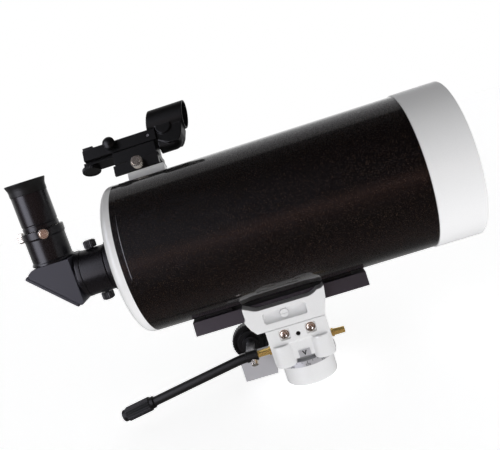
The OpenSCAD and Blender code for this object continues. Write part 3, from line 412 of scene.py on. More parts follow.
def stand_for(obj, node):
    """The piece rides, is finished and is shown in place of one node."""
    scene.collection.objects.link(obj)
    obj.data.materials.clear()
    obj.data.materials.append(finish[slot_of[node]])
    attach(obj, body_of[node])
    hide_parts(node)
    return obj


def piece(name, bm, node):
    """A bmesh as a smooth-shaded piece for a node, with sharp corners and flat faces kept as they are."""
    mesh = bpy.data.meshes.new(name)
    bm.to_mesh(mesh)
    bm.free()
    mesh.shade_smooth()
    mesh.set_sharp_from_angle(angle=SHARP)
    print(name, "has", len(mesh.polygons), "faces")
    obj = stand_for(bpy.data.objects.new(name, mesh), node)
    flat = obj.modifiers.new("flat faces", "WEIGHTED_NORMAL")
    flat.keep_sharp = True
    return obj


def added(name, bm, node, slot):
    """A bmesh as a small piece that rides with a node and has a finish of its own."""
    mesh = bpy.data.meshes.new(name)
    bm.to_mesh(mesh)
    bm.free()
    mesh.materials.append(finish[slot])
    obj = bpy.data.objects.new(name, mesh)
    scene.collection.objects.link(obj)
    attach(obj, body_of[node])
    print(name, "has", len(mesh.polygons), "faces and rides on", node)
    return obj


print("corners of more than", round(math.degrees(SHARP)), "degrees stay sharp")

# %% [markdown]
# ## Cast and milled pieces
# Cast pieces start from the solid's own mesh, which a voxel skin and some smoothing round off. Milled
# pieces keep their faces and only get their edges broken by a bevel. The solid's triangles are first
# joined into whole flat faces, because a bevel follows real edges and not the seams between triangles.

# %% Castings and milled pieces
def flattened(node):
    """A bmesh of a node's solid with each flat face in one polygon."""
    bm = bmesh.new()
    bm.from_mesh(frame["nodes"][node].data)
    bmesh.ops.remove_doubles(bm, verts=bm.verts, dist=0.005 * MM)
    bmesh.ops.dissolve_limit(bm, angle_limit=math.radians(0.5), verts=bm.verts, edges=bm.edges)
    return bm


def casting(name, node, voxel=0.55, rounds=8):
    """A node's solid, rounded as in a painted casting; voxel in millimetres."""
    obj = bpy.data.objects.new(name, frame["nodes"][node].data.copy())
    skin = obj.modifiers.new("skin", "REMESH")
    skin.mode = "VOXEL"
    skin.voxel_size = voxel * MM
    skin.use_smooth_shade = True
    paint = obj.modifiers.new("paint", "SMOOTH")
    paint.factor = 0.5
    paint.iterations = rounds
    print(name, "is cast over", node)
    return stand_for(obj, node)


def milled(name, node, edge=0.5):
    """A node's solid with flat faces and small bevelled edges; edge in millimetres."""
    obj = piece(name, flattened(node), node)
    obj.modifiers.clear()
    edges = obj.modifiers.new("edges", "BEVEL")
    edges.width = edge * MM
    edges.segments = 3
    edges.limit_method = "ANGLE"
    edges.angle_limit = SHARP
    edges.harden_normals = True
    return obj


bm = flattened("dovetail_bar")
print("the dovetail bar has", len(bm.faces), "flat faces")
bm.free()

# %% [markdown]
# ## Turned pieces on a joint
# A knob turns about its joint, so its outline is spun about that joint's axis. The axis could be read
# off the piece's box, but not where it leans, so it comes from the joint, and the reach and the radius
# come from the solid's own corners.

# %% Axis of a turned piece
def axis_of(node, joint_name):
    """A turned node's place on its joint's axis, its lowest and highest reach along it, and its radius."""
    origin, axis = Vector(joint[joint_name]["pos_m"]), Vector(joint[joint_name]["axis"]).normalized()
    corners = [v.co - origin for v in frame["nodes"][node].data.vertices]
    heights = [c.dot(axis) for c in corners]
    radius = max((c - axis * h).length for c, h in zip(corners, heights))
    place = Matrix.Translation(origin) @ axis.to_track_quat("Z", "Y").to_matrix().to_4x4()
    return place, min(heights), max(heights), radius


print(f"clamp knob: {2 * axis_of('clamp_knob', 'clamp_turn')[3] / MM:.1f} mm across")

# %% [markdown]
# ## The tube and its two cells
# The tube is a rolled and painted sheet, closed at both ends by turned and sprayed cells. Their long,
# even reflections show every facet, so they are spun with more steps than the rest, from the seams that
# the frame gives.

# %% Tube, front cell and rear cell
FINE_STEPS = 320
TUBE_WALL = 2 * MM
SPIGOT_WALL = 4 * MM
APERTURE_R = 63.5 * MM
LENS_EDGE = 12 * MM
LENS_ROOM = 0.4 * MM
REAR_ROUND = 7 * MM
HUB_BORE = 18.2 * MM
BEAD_AT, BEAD_HALF, BEAD_H = 6 * MM, 0.6 * MM, 0.10 * MM
tube_len = front_seam - rear_seam
spigot_r = tube_r - TUBE_WALL - 0.1 * MM
bead = [(tube_r + BEAD_H if k == 0 else tube_r, BEAD_AT + k * BEAD_HALF) for k in (-3, -2, -1, 0, 1, 2, 3)]
outline = [(tube_r - TUBE_WALL, 0), (tube_r, 0), *bead, (tube_r, tube_len),
    (tube_r - TUBE_WALL, tube_len)]
piece("tube_barrel", lathe(soften(outline, 0.35 * MM), along_x(rear_seam), FINE_STEPS), "tube")

front_low, front_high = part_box("front_cell")
front_r = (front_high.y - front_low.y) / 2
front_end = front_high.x - rear_seam
front_spigot = front_low.x - rear_seam
lens_low, lens_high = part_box("corrector")
lens_r = (lens_high.y - lens_low.y) / 2
lens_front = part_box("lens_retainer")[0].x - rear_seam
lens_back = lens_front - LENS_EDGE
throat = spigot_r - SPIGOT_WALL
outline = [(spigot_r, front_spigot), (spigot_r, tube_len), (front_r, tube_len), (front_r, front_end),
    (lens_r + LENS_ROOM, front_end), (lens_r + LENS_ROOM, lens_back), (APERTURE_R, lens_back),
    (APERTURE_R, lens_back - 3 * MM), (throat, lens_back - 6 * MM), (throat, front_spigot)]
piece("front_cell_turned", lathe(soften(outline, 0.9 * MM), along_x(rear_seam), FINE_STEPS), "front_cell")

rear_len = rear_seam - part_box("rear_cell")[0].x
rear_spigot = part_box("rear_cell")[1].x - rear_seam
corner = [(tube_r - REAR_ROUND * (1 - math.sin(a)), -rear_len + REAR_ROUND * (1 - math.cos(a)))
    for a in (math.radians(7.5 * i) for i in range(13))]
outline = [(HUB_BORE, -rear_len), *corner, (tube_r, 0), (spigot_r, 0), (spigot_r, rear_spigot),
    (throat, rear_spigot), (throat, SPIGOT_WALL - rear_len), (HUB_BORE, SPIGOT_WALL - rear_len)]
piece("rear_cell_turned", lathe(outline, along_x(rear_seam), FINE_STEPS), "rear_cell")

# %% [markdown]
# ## Lens, mirror and lining
# The lens is a thick meniscus, bowed into the tube, held by a black ring, and the cell is painted black
# inside so that stray light dies there. A thin black lining sleeve stands for that paint, because one
# piece takes one finish.

# %% Lens, retaining ring, lining and mirrors
LENS_CURVE = 190 * MM
LINING = 0.25 * MM
arc_steps = 16


def bowed(edge_height, radius):
    """Points from the axis to a radius on a sphere that is bowed back, with its rim at edge_height."""
    rim_sag = LENS_CURVE - math.sqrt(LENS_CURVE ** 2 - radius ** 2)
    return [(r, edge_height - rim_sag + LENS_CURVE - math.sqrt(LENS_CURVE ** 2 - r * r))
        for r in (radius * i / arc_steps for i in range(arc_steps + 1))]


glass_r = APERTURE_R - 0.5 * MM
back_face = bowed(lens_back, glass_r)
front_face = bowed(lens_front - 0.5 * MM, glass_r)
outline = back_face + [(lens_r, lens_back + 0.2 * MM), (lens_r, lens_front - 0.2 * MM)] + front_face[::-1]
piece("corrector_lens", lathe(outline, along_x(rear_seam)), "corrector")

ring_low, ring_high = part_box("lens_retainer")
ring_r = (ring_high.y - ring_low.y) / 2
ring_end = ring_high.x - rear_seam
outline = [(APERTURE_R, lens_front), (ring_r, lens_front), (ring_r, ring_end),
    (APERTURE_R + 2 * MM, ring_end), (APERTURE_R, lens_front + 2 * MM)]
piece("retaining_ring", lathe(soften(outline, 0.4 * MM), along_x(rear_seam)), "lens_retainer")

bore = lens_r + LENS_ROOM
lining = [(bore - LINING, ring_end + LINING), (bore - 0.02 * MM, ring_end + LINING),
    (bore - 0.02 * MM, front_end - 1.2 * MM), (bore - LINING, front_end - 1.2 * MM)]
added("front_cell_lining", lathe(lining, along_x(rear_seam)), "front_cell", "black_anodised")
print(f"lens {2 * lens_r / MM:.1f} mm across, lined from {ring_end / MM:.1f} to {front_end / MM:.1f} mm")

# %% [markdown]
# ## Turned fittings at the back
# A visual back screws onto the rear cell and grips the diagonal's nose with two thumbscrews. Everything
# here is turned from bar and anodised black, so each is one outline on the lathe, with corners broken
# by half a millimetre.

# %% Visual back, diagonal nose and eyepiece holder
BARREL_R = 15.875 * MM
GRIP_BORE = BARREL_R + 0.05 * MM
back_low, back_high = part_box("visual_back")
flange_r = (back_high.y - back_low.y) / 2
BACK_R = 22.2 * MM
FLANGE_END = -27 * MM
GROOVE = 1.8 * MM
back_end = back_low.x - rear_seam
outline = [(GRIP_BORE, -rear_len), (flange_r, -rear_len), (flange_r, FLANGE_END),
    (BACK_R - MM, FLANGE_END), (BACK_R - MM, FLANGE_END - GROOVE), (BACK_R, FLANGE_END - GROOVE),
    (BACK_R, back_end), (GRIP_BORE, back_end)]
piece("visual_back_turned", lathe(soften(outline, 0.5 * MM), along_x(rear_seam)), "visual_back")

nose_low, nose_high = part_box("diagonal_nose")
nose_r = (nose_high.y - nose_low.y) / 2
NOSE_BORE = 13.4 * MM
NOSE_GAP = 0.4 * MM
nose_start, nose_end = nose_low.x - rear_seam, nose_high.x - rear_seam
shoulder = back_end - NOSE_GAP
outline = [(NOSE_BORE, nose_start), (nose_r - 3 * MM, nose_start), (nose_r, nose_start + 3 * MM),
    (nose_r, shoulder), (BARREL_R, shoulder), (BARREL_R, nose_end), (NOSE_BORE, nose_end)]
piece("diagonal_nose_turned", lathe(soften(outline, 0.5 * MM), along_x(rear_seam)), "diagonal_nose")

holder_low, holder_high, holder_mid = span("eyepiece_holder")
holder_x = holder_mid.x
collar_r = (holder_high.x - holder_low.x) / 2
HOLDER_R = 19 * MM
COLLAR_H = 8 * MM
FOOT_H = 2 * MM
holder_h = holder_high.z - holder_low.z
outline = [(GRIP_BORE, 0), (collar_r, 0), (collar_r, FOOT_H), (HOLDER_R, FOOT_H + 1.2 * MM),
    (HOLDER_R, holder_h - COLLAR_H), (collar_r - 0.2 * MM, holder_h - COLLAR_H + MM),
    (collar_r - 0.2 * MM, holder_h), (GRIP_BORE, holder_h)]
place = upright(holder_x, 0, holder_low.z)
piece("eyepiece_holder_turned", lathe(soften(outline, 0.6 * MM), place), "eyepiece_holder")

# %% [markdown]
# ## The eyepiece
# The eyepiece is a black barrel with a plated push-in tube below and a rubber cup above, whose lip
# flares out for the eye. Lens, cup and body are separate pieces, as they are on the bench.

# %% Eyepiece
body_low, body_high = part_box("eyepiece_body")
cup_low, cup_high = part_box("eyecup")
eyepiece_r = (body_high.x - body_low.x) / 2
cup_r = (cup_high.x - cup_low.x) / 2
PUSH_BORE = 13.6 * MM
EYE_R = 11 * MM
NECK = 1.6 * MM
RING_Z = 4 * MM
body_h = body_high.z - body_low.z
cup_foot = cup_low.z - body_low.z
neck_r = eyepiece_r - NECK
outline = [(PUSH_BORE, 0), (eyepiece_r, 0), (eyepiece_r, RING_Z),
    (eyepiece_r - 0.5 * MM, RING_Z + 0.5 * MM), (eyepiece_r - 0.5 * MM, RING_Z + 1.5 * MM),
    (eyepiece_r, RING_Z + 2 * MM), (eyepiece_r, cup_foot), (neck_r, cup_foot), (neck_r, body_h),
    (EYE_R, body_h), (EYE_R, body_h - 8 * MM), (PUSH_BORE, body_h - 10 * MM)]
place = upright(holder_x, 0, body_low.z)
piece("eyepiece_turned", lathe(soften(outline, 0.4 * MM), place), "eyepiece_body")

cup_h = cup_high.z - cup_low.z
cup_in = neck_r + 0.05 * MM
wall_r = eyepiece_r + 0.35 * MM
outline = [(cup_in, 0), (wall_r, 0), (wall_r, 0.45 * cup_h), (wall_r + 0.4 * MM, 0.62 * cup_h),
    (cup_r - 0.3 * MM, 0.88 * cup_h), (cup_r, cup_h - 0.8 * MM), (cup_r - 0.6 * MM, cup_h),
    (cup_r - 2.4 * MM, cup_h - 0.4 * MM), (cup_in, cup_h - 2 * MM)]
place = upright(holder_x, 0, cup_low.z)
piece("rubber_eyecup", lathe(soften(outline, 0.5 * MM), place), "eyecup")

push_low, push_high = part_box("eyepiece_barrel")
push_h = push_high.z - push_low.z
outline = [(PUSH_BORE, 0), (BARREL_R, 0), (BARREL_R, push_h), (PUSH_BORE, push_h)]
place = upright(holder_x, 0, push_low.z)
piece("plated_barrel", lathe(soften(outline, 0.5 * MM), place), "eyepiece_barrel")
DOME = 1.2 * MM
for node, name in (("eye_lens", "eye_lens_ground"), ("field_lens", "field_lens_ground")):
    low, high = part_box(node)
    r, h = (high.x - low.x) / 2, high.z - low.z
    dome = [(r * math.sin(a), h - DOME + DOME * math.cos(a))
        for a in (math.radians(10 * i) for i in range(9, -1, -1))]
    piece(name, lathe([(0, 0), (r, 0)] + dome, upright(holder_x, 0, low.z)), node)

# %% [markdown]
# ## Thumbscrews and knobs
# Whatever is set by hand here has a ribbed rim, so that cold fingers hold it. Knurling is rolled into
# steel and ribs are moulded into plastic, and both are waves round a turned head. The lathe's rib depth
# makes them as geometry, along the axis of the joint that the piece turns on.

# %% Thumbscrews
CAP = 0.6 * MM
EDGE = 0.6 * MM
RIB = 0.5 * MM
COLLAR_T = 2 * MM


def thumbscrew(name, node, joint_name, head, shank, ribs, collar=0.0):
    """A ribbed head with a raised cap on a plain shank, and a collar below the head if it has one."""
    place, low, high, r = axis_of(node, joint_name)
    top = high - CAP
    seat = top - head
    foot = [(0, low), (shank - EDGE / 2, low), (shank, low + EDGE / 2)]
    if collar:
        foot += [(shank, seat - COLLAR_T), (collar, seat - COLLAR_T), (collar, seat)]
    rim = [(shank, seat), (r - EDGE, seat), (r, seat + EDGE, RIB), (r, top - EDGE, RIB), (r - EDGE, top)]
    crown = [(r - 2.5 * EDGE, top), (r - 3 * EDGE, high), (0, high)]
    return piece(name, lathe(foot + rim + crown, place, 8 * ribs, ribs), node)


for node, joint_name, head, shank, ribs in (
    ("back_screw_top", "back_top_turn", 6.8, 2.0, 22),
    ("back_screw_bottom", "back_bottom_turn", 6.8, 2.0, 22),
    ("holder_screw_rear", "holder_rear_turn", 5.4, 1.8, 18),
    ("holder_screw_side", "holder_side_turn", 5.4, 1.8, 18),
    ("shoe_clamp", "shoe_clamp_turn", 7.0, 1.8, 24),
    ("azimuth_wheel", "azimuth_wheel_turn", 5.0, 1.8, 24),
):
    thumbscrew(node + "_ribbed", node, joint_name, head * MM, shank * MM, ribs)
thumbscrew("bar_clamp_ribbed", "bar_clamp", "bar_clamp_turn", 12 * MM, 3 * MM, 20, collar=5 * MM)

# %% [markdown]
# ## Larger knobs
# The clamp knob, the focus knob and the finder's wheel are moulded with a sunk face and a ribbed rim.
# They could be carved from a cylinder, but a mould for such a knob is turned, so each is again one
# outline on the lathe.

# %% Larger knobs
place, low, high, r = axis_of("clamp_knob", "clamp_turn")
HUB_R, DISC_R, GROOVE_R = 8.5 * MM, r - 6 * MM, r - 3.4 * MM
face = low + 6.5 * MM
outline = [(0, low), (HUB_R, low), (HUB_R, face - 2 * MM), (DISC_R, face - 2 * MM),
    (DISC_R, face + 1.6 * MM), (GROOVE_R, face + 1.6 * MM), (GROOVE_R, face), (r - MM, face),
    (r, face + MM, 0.7 * MM), (r, high - MM, 0.7 * MM), (r - MM, high), (r - 4 * MM, high),
    (r - 5 * MM, high - 0.8 * MM), (0, high - 0.8 * MM)]
piece("clamp_knob_moulded", lathe(soften(outline, 0.5 * MM), place, 320, 40), "clamp_knob")

place, low, high, r = axis_of("focus_knob", "focus_turn")
outline = [(0, high), (r - MM, high), (r, high - MM, EDGE), (r, low + 2.5 * MM, EDGE),
    (r - MM, low + 1.5 * MM), (r - 1.6 * MM, low + 1.5 * MM), (r - 1.6 * MM, low + EDGE),
    (r - 2.2 * MM, low), (r - 5 * MM, low), (r - 6 * MM, low + 0.8 * MM), (0, low + 0.8 * MM)]
piece("focus_knob_moulded", lathe(outline, place, 288, 36), "focus_knob")

place, low, high, r = axis_of("altitude_wheel", "altitude_wheel_turn")
STUD_R, STUD_LEN = 2.5 * MM, 3.3 * MM
wheel_top = high - STUD_LEN
outline = [(0, low + 0.4 * MM), (r - 3 * MM, low + 0.4 * MM), (r - 2.4 * MM, low), (r - EDGE, low),
    (r, low + EDGE, 0.4 * MM), (r, wheel_top - EDGE, 0.4 * MM), (r - EDGE, wheel_top),
    (STUD_R, wheel_top), (STUD_R, high), (0, high)]
piece("altitude_wheel_moulded", lathe(outline, place, 288, 36), "altitude_wheel")

place, low, high, r = axis_of("finder_switch", "switch_turn")
STEM_R, STEM, DOME_R = 2 * MM, 6 * MM, 9 * MM
disc = low + STEM
dome = [(DOME_R * math.sin(a), high - DOME_R + DOME_R * math.cos(a))
    for a in (math.asin(r / DOME_R) * (1 - i / 8) for i in range(9))]
outline = [(0, low), (STEM_R, low), (STEM_R, disc), (r - 0.4 * MM, disc), (r, disc + 0.4 * MM)] + dome
piece("switch_dome", lathe(outline, place, 192), "finder_switch")

# %% [markdown]
# ## Worm, sleeve and cable handle
# The worm turns the head a fraction of a degree at a time. Both of its brass ends stick out of the
# block, one bare and one in the sleeve that the cable drives. A thread can be swept as a helix, but
# here plain rings show the same profile and keep the piece a simple turning.

# %% Worm and sleeve
worm_low, worm_high, worm_mid = span("worm")
SHAFT_R, THREAD_R, ROOT = 3.2 * MM, 4.4 * MM, 0.5 * MM
THREAD_HALF, PITCH, LAND = 9 * MM, 3 * MM, 2 * MM
THRUST_R, THRUST_T, THRUST_X = SHAFT_R + 0.9 * MM, 2 * MM, 29.6 * MM
left, right_end = worm_low.x, worm_high.x
rings = []
for i in range(6):
    start = i * PITCH - THREAD_HALF
    rings += [(THREAD_R - ROOT, start - 0.2 * MM), (THREAD_R, start), (THREAD_R, start + LAND),
        (THREAD_R - ROOT, start + LAND + 0.2 * MM)]
outline = [(0, left), (SHAFT_R - 0.5 * MM, left), (SHAFT_R, left + 0.5 * MM),
    (SHAFT_R, -THRUST_X - THRUST_T), (THRUST_R, -THRUST_X - THRUST_T), (THRUST_R, -THRUST_X),
    (SHAFT_R, -THRUST_X), (SHAFT_R, -THREAD_HALF - MM), *rings, (SHAFT_R, THREAD_HALF + MM),
    (SHAFT_R, THRUST_X), (THRUST_R, THRUST_X), (THRUST_R, THRUST_X + THRUST_T),
    (SHAFT_R, THRUST_X + THRUST_T), (SHAFT_R, right_end - 0.5 * MM), (SHAFT_R - 0.5 * MM, right_end),
    (0, right_end)]
bm = lathe(outline, along_x(0, worm_mid.y, sleeve_mid.z), 96)
FLAT, FLAT_LEN = 2.3 * MM, 9 * MM
for v in bm.verts:
    if v.co.x > right_end - FLAT_LEN:
        v.co.z = min(v.co.z, sleeve_mid.z + FLAT)
piece("worm_turned", bm, "worm")

sleeve_r = (sleeve_high.y - sleeve_low.y) / 2
sleeve_len = sleeve_high.x - sleeve_low.x
bore_end = worm_low.x - sleeve_low.x
outline = [(0, 0), (sleeve_r, 0), (sleeve_r, sleeve_len), (SHAFT_R + 0.1 * MM, sleeve_len),
    (SHAFT_R + 0.1 * MM, bore_end), (0, bore_end)]
place = along_x(sleeve_low.x, sleeve_mid.y, sleeve_mid.z)
piece("sleeve_turned", lathe(soften(outline, 0.7 * MM), place), "cable_sleeve")

# %% [markdown]
# ## The handle of the cable
# A ribbed handle is pressed onto the cable's far end.

# %% Cable handle
place, low, high, r = axis_of("cable_handle", "handle_turn")
HANDLE_STEP, HANDLE_END = 1.2 * MM, 4 * MM
outline = [(0, high), (r - HANDLE_STEP - MM, high), (r - HANDLE_STEP, high - MM),
    (r - HANDLE_STEP, high - HANDLE_END), (r, high - HANDLE_END - MM, 0.8 * MM),
    (r, low + HANDLE_END + MM, 0.8 * MM), (r - HANDLE_STEP, low + HANDLE_END),
    (r - HANDLE_STEP, low + MM), (r - HANDLE_STEP - MM, low), (0, low)]
handle = piece("cable_handle_moulded", lathe(outline, place, 216, 18), "cable_handle")

# %% [markdown]
# ## The declination head
# Housing, saddle, worm block and finder shoe are pressure castings: every edge is round and the sprayed
# paint softens it more. Their solids are skinned again with small voxels and smoothed a little, which
# rounds inner and outer corners alike, as a bevel could not do where so many cuts meet.

# %% Castings
casting("dec_housing_cast", "dec_housing", voxel=0.6)
casting("saddle_cast", "saddle", voxel=0.5, rounds=6)
casting("worm_block_cast", "worm_block", voxel=0.5, rounds=14)
casting("finder_shoe_cast", "finder_shoe", voxel=0.5)

# %% [markdown]
# ## The setting circle
# A loose ring on the head's neck carries a scale in degrees. The real one is engraved and inked, so
# each mark is a thin patch of ink laid on the turned rim. The figures start as type, are made into a
# mesh and are bent round the ring.

# %% Setting circle and its scale
circle_low, circle_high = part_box("setting_circle")
circle_r = (circle_high.x - circle_low.x) / 2
circle_h = circle_high.z - circle_low.z
NECK_R = 22.05 * MM
TICKS, GROUP = 36, 3
TICK_W, TICK_LONG, TICK_SHORT, TICK_EDGE = 0.5 * MM, 2.4 * MM, 1.5 * MM, 0.4 * MM
FIGURE_H, FIGURE_LOW, TYPE_SHARE = 2.2 * MM, 0.5 * MM, 0.7
INK = 0.03 * MM
outline = [(NECK_R, 0), (circle_r, 0), (circle_r, circle_h), (NECK_R, circle_h)]
place = upright(0, 0, circle_low.z)
piece("setting_circle_turned", lathe(soften(outline, 0.4 * MM), place), "setting_circle")


def on_rim(arc, height):
    """A point of the ink's outer face, at an arc length round the rim and a height on it."""
    angle = arc / circle_r
    return (circle_r + INK) * math.cos(angle), (circle_r + INK) * math.sin(angle), circle_low.z + height


bm = bmesh.new()
for i in range(TICKS):
    middle = 2 * math.pi * circle_r * i / TICKS
    high = circle_h - TICK_EDGE
    low = high - (TICK_LONG if i % GROUP == 0 else TICK_SHORT)
    bm.faces.new([bm.verts.new(on_rim(middle + w * TICK_W / 2, h))
        for w, h in ((-1, low), (1, low), (1, high), (-1, high))])
for i in range(0, TICKS, GROUP):
    type_curve = bpy.data.curves.new("figure", "FONT")
    type_curve.body = str(i * 360 // TICKS)
    type_curve.size = FIGURE_H / TYPE_SHARE
    type_curve.align_x = "CENTER"
    figure = bpy.data.objects.new("figure", type_curve)
    flat = figure.to_mesh()
    corners = [bm.verts.new(on_rim(v.co.x + 2 * math.pi * circle_r * i / TICKS, v.co.y + FIGURE_LOW))
        for v in flat.vertices]
    for face in flat.polygons:
        bm.faces.new([corners[k] for k in face.vertices])
    figure.to_mesh_clear()
    bpy.data.objects.remove(figure)
    bpy.data.curves.remove(type_curve)
added("circle_scale", bm, "setting_circle", "black_plastic")

# %% [markdown]
# ## Screws and the pointer
# Two plated cap screws with washers hold the worm block in square recesses. A cap screw is turned and
# its socket is broached, so the socket is cut here as a real six-sided hole. Beside them a small plate
# points at the scale.

# %% Cap screws and pointer
screw_low, screw_high, screw_mid = span("block_screws")
WASHER_R, WASHER_T, CAP_R, CAP_H = 4.6 * MM, 0.9 * MM, 3.4 * MM, 2.7 * MM
SOCKET_R, SOCKET_D, SHANK_R = 1.7 * MM, 2 * MM, 2 * MM
screw_half = (screw_high.x - screw_low.x) / 2 - WASHER_R
length = screw_high.y - screw_low.y
outline = [(0, length), (SHANK_R, length), (SHANK_R, CAP_H + WASHER_T), (WASHER_R, CAP_H + WASHER_T),
    (WASHER_R, CAP_H), (CAP_R, CAP_H), (CAP_R, 0), (SOCKET_R + 0.3 * MM, 0), (SOCKET_R, 0.3 * MM),
    (SOCKET_R, SOCKET_D), (0, SOCKET_D)]
both = bmesh.new()
for side in (-1, 1):
    into = facing_front(screw_mid.x + side * screw_half, screw_low.y, screw_mid.z)
    one = lathe(soften(outline[:-4], 0.25 * MM) + outline[-4:], Matrix(), 96)
    for v in one.verts:
        if v.co.xy.length < SOCKET_R + 0.1 * MM and v.co.z < SOCKET_D + EDGE:
            turn = math.atan2(v.co.y, v.co.x) % (math.pi / 3) - math.pi / 6
            v.co.xy *= math.cos(math.pi / 6) / math.cos(turn)
    bmesh.ops.transform(one, matrix=into, verts=one.verts)
    mesh = bpy.data.meshes.new("one_screw")
    one.to_mesh(mesh)
    one.free()
    both.from_mesh(mesh)
    bpy.data.meshes.remove(mesh)
piece("cap_screws", both, "block_screws")

SET_R, SET_LEN, SET_HEX_R, SET_HEX_D = 2.05 * MM, 5 * MM, 1.1 * MM, 1.5 * MM
SET_BACK, SET_UP = 2 * MM, -2.4 * MM
outline = [(0, SET_LEN), (SET_R, SET_LEN), (SET_R, 0), (SET_HEX_R, 0), (SET_HEX_R, SET_HEX_D),
    (0, SET_HEX_D)]
place = facing_front(screw_mid.x, screw_low.y + SET_BACK, screw_mid.z + SET_UP)
added("block_set_screw", lathe(outline, place, 48), "worm_block", "black_plastic")

plate_low, _, plate_mid = span("pointer_plate")
milled("pointer_plate_cut", "pointer_plate", edge=0.2)
ARROW_W, ARROW_H, STROKE = 4.6 * MM, 5 * MM, 1.1 * MM
tip_z = plate_mid.z - ARROW_H / 2
bm = bmesh.new()
for side in (-1, 1):
    top_x, z = side * ARROW_W / 2, plate_mid.z + ARROW_H / 2
    bm.faces.new([bm.verts.new((plate_mid.x + x, plate_low.y - INK, h)) for x, h in (
        (top_x, z), (0, tip_z), (0, tip_z + 2 * STROKE), (top_x - side * STROKE, z))])
added("pointer_arrow", bm, "pointer_plate", "black_plastic")

# %% [markdown]
# ## Bar, collar and diagonal
# The dovetail bar is an extrusion cut to length, the clamp collar is sawn from bar, and the diagonal is
# a milled block with a cover over its mirror. All of them keep flat faces, with edges that a file or a
# tumbler has broken.

# %% Milled pieces
milled("dovetail_bar_cut", "dovetail_bar", edge=0.5)
milled("clamp_collar_cut", "clamp_collar", edge=0.5)
milled("diagonal_body_milled", "diagonal_body", edge=0.9)
milled("diagonal_cover_milled", "diagonal_cover", edge=0.9)

# %% [markdown]
# ## The red-dot finder
# The finder is moulded in a few pieces: a foot that slides on the shoe, a bracket that swings on it, a
# rail that tilts on the bracket, and a hood round the window where the red dot shows. Moulded edges are
# rounder than milled ones, and the hood is all curves, so it is skinned like a casting but with finer
# voxels.

# %% Finder
milled("finder_foot_moulded", "finder_foot", edge=0.8)
milled("finder_bracket_moulded", "finder_bracket", edge=0.8)
milled("finder_rail_moulded", "finder_rail", edge=0.8)
casting("finder_hood_moulded", "finder_hood", voxel=0.4, rounds=6)

# %% [markdown]
# ## Finishes on the pieces that stay
# What is plain already, such as pins, the brass wheel, the mirrors and the baffles, is shown as the
# frame has it. Those pieces only need their finish in place of the frame's own colour.

# %% Finish the rest
for node, obj in frame["nodes"].items():
    for holder in obj.material_slots:
        holder.material = finish[slot_of[node]]
print("finished", len(frame["nodes"]), "nodes")

# %% [markdown]
# ## Floor, backdrop and light
# The studio is a white sweep with soft light from the camera's side. The sweep fills the picture with
# white, lights the white castings from all around, and shows in the gloss of the tube only where it
# stands: behind and below, and not overhead or behind the camera, which stay dark. The world's light is
# therefore split by the kind of ray.

# %% Floor
FLOOR_SIZE, FLOOR_GAP = 6.0, 0.2 * MM
floor_mesh = bpy.data.meshes.new("floor")
bm = bmesh.new()
bmesh.ops.create_grid(bm, x_segments=8, y_segments=8, size=FLOOR_SIZE / 2)
bm.to_mesh(floor_mesh)
bm.free()
floor = bpy.data.objects.new("floor", floor_mesh)
scene.collection.objects.link(floor)
floor.location.z = cad_box[0][2] - FLOOR_GAP
mat, shader = new_finish("floor_paint", (0.86, 0.86, 0.86), (0.90, 0.90, 0.90), 0.9, grain=40, bump=0)
FLOOR_GLOW = 0.95
FLOOR_SHADE = 0.22
ray = mat.node_tree.nodes.new("ShaderNodeLightPath")
glow = mat.node_tree.nodes.new("ShaderNodeMath")
glow.operation = "MULTIPLY_ADD"
glow.inputs[1].default_value = -FLOOR_SHADE
glow.inputs[2].default_value = FLOOR_GLOW
mat.node_tree.links.new(ray.outputs["Is Camera Ray"], glow.inputs[0])
mat.node_tree.links.new(glow.outputs["Value"], shader.inputs["Emission Strength"])
shader.inputs["Emission Color"].default_value = (1, 1, 1, 1)
floor_mesh.materials.append(mat)
floor.visible_glossy = False
floor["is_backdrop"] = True
print("floor:", FLOOR_SIZE, "m square")

# %% [markdown]
# ## What the gloss sees
# Gloss black shows its surroundings, not its own colour. An image of a studio could stand round the
# object, but directions worked out by a few nodes are enough and stay editable. These helpers join
# them: plain sums, a slope between two values, a mix of two colours and a band between two edges.

# %% World and helpers for its nodes
world = bpy.data.worlds.new("studio")
scene.world = world
world.use_nodes = True
nodes, links = world.node_tree.nodes, world.node_tree.links
background = nodes["Background"]


def math_node(operation, *values):
    """A math node fed by sockets or plain numbers."""
    node = nodes.new("ShaderNodeMath")
    node.operation = operation
    for socket, value in zip(node.inputs, values):
        if isinstance(value, (int, float)):
            socket.default_value = value
        else:
            links.new(value, socket)
    return node.outputs["Value"]


def ramp(value, start, end):
    """0 below start, 1 above end and an even slope between."""
    node = nodes.new("ShaderNodeMapRange")
    node.inputs["From Min"].default_value = start
    node.inputs["From Max"].default_value = end
    links.new(value, node.inputs["Value"])
    return node.outputs["Result"]


def blended(amount, low, high):
    """A colour mix whose ends are plain colours or sockets."""
    node = nodes.new("ShaderNodeMix")
    node.data_type = "RGBA"
    links.new(amount, node.inputs["Factor"])
    for socket, value in ((node.inputs["A"], low), (node.inputs["B"], high)):
        if isinstance(value, tuple):
            socket.default_value = (*value, 1)
        else:
            links.new(value, socket)
    return node.outputs["Result"]


def between(value, start, end):
    """1 between two edges, each given as the pair of values that it fades between."""
    falling = math_node("SUBTRACT", 1.0, ramp(value, *end))
    return math_node("MULTIPLY", ramp(value, *start), falling)


print("world:", world.name)

# %% [markdown]
# ## The white sweep in the gloss
# A ring of colours round the tube's long axis stands for the white sweep and the dark room. Each stop
# is an angle and a colour: 0 degrees lies behind the tube, 90 overhead and -90 underneath. A colour
# ramp over that angle holds the whole ring.

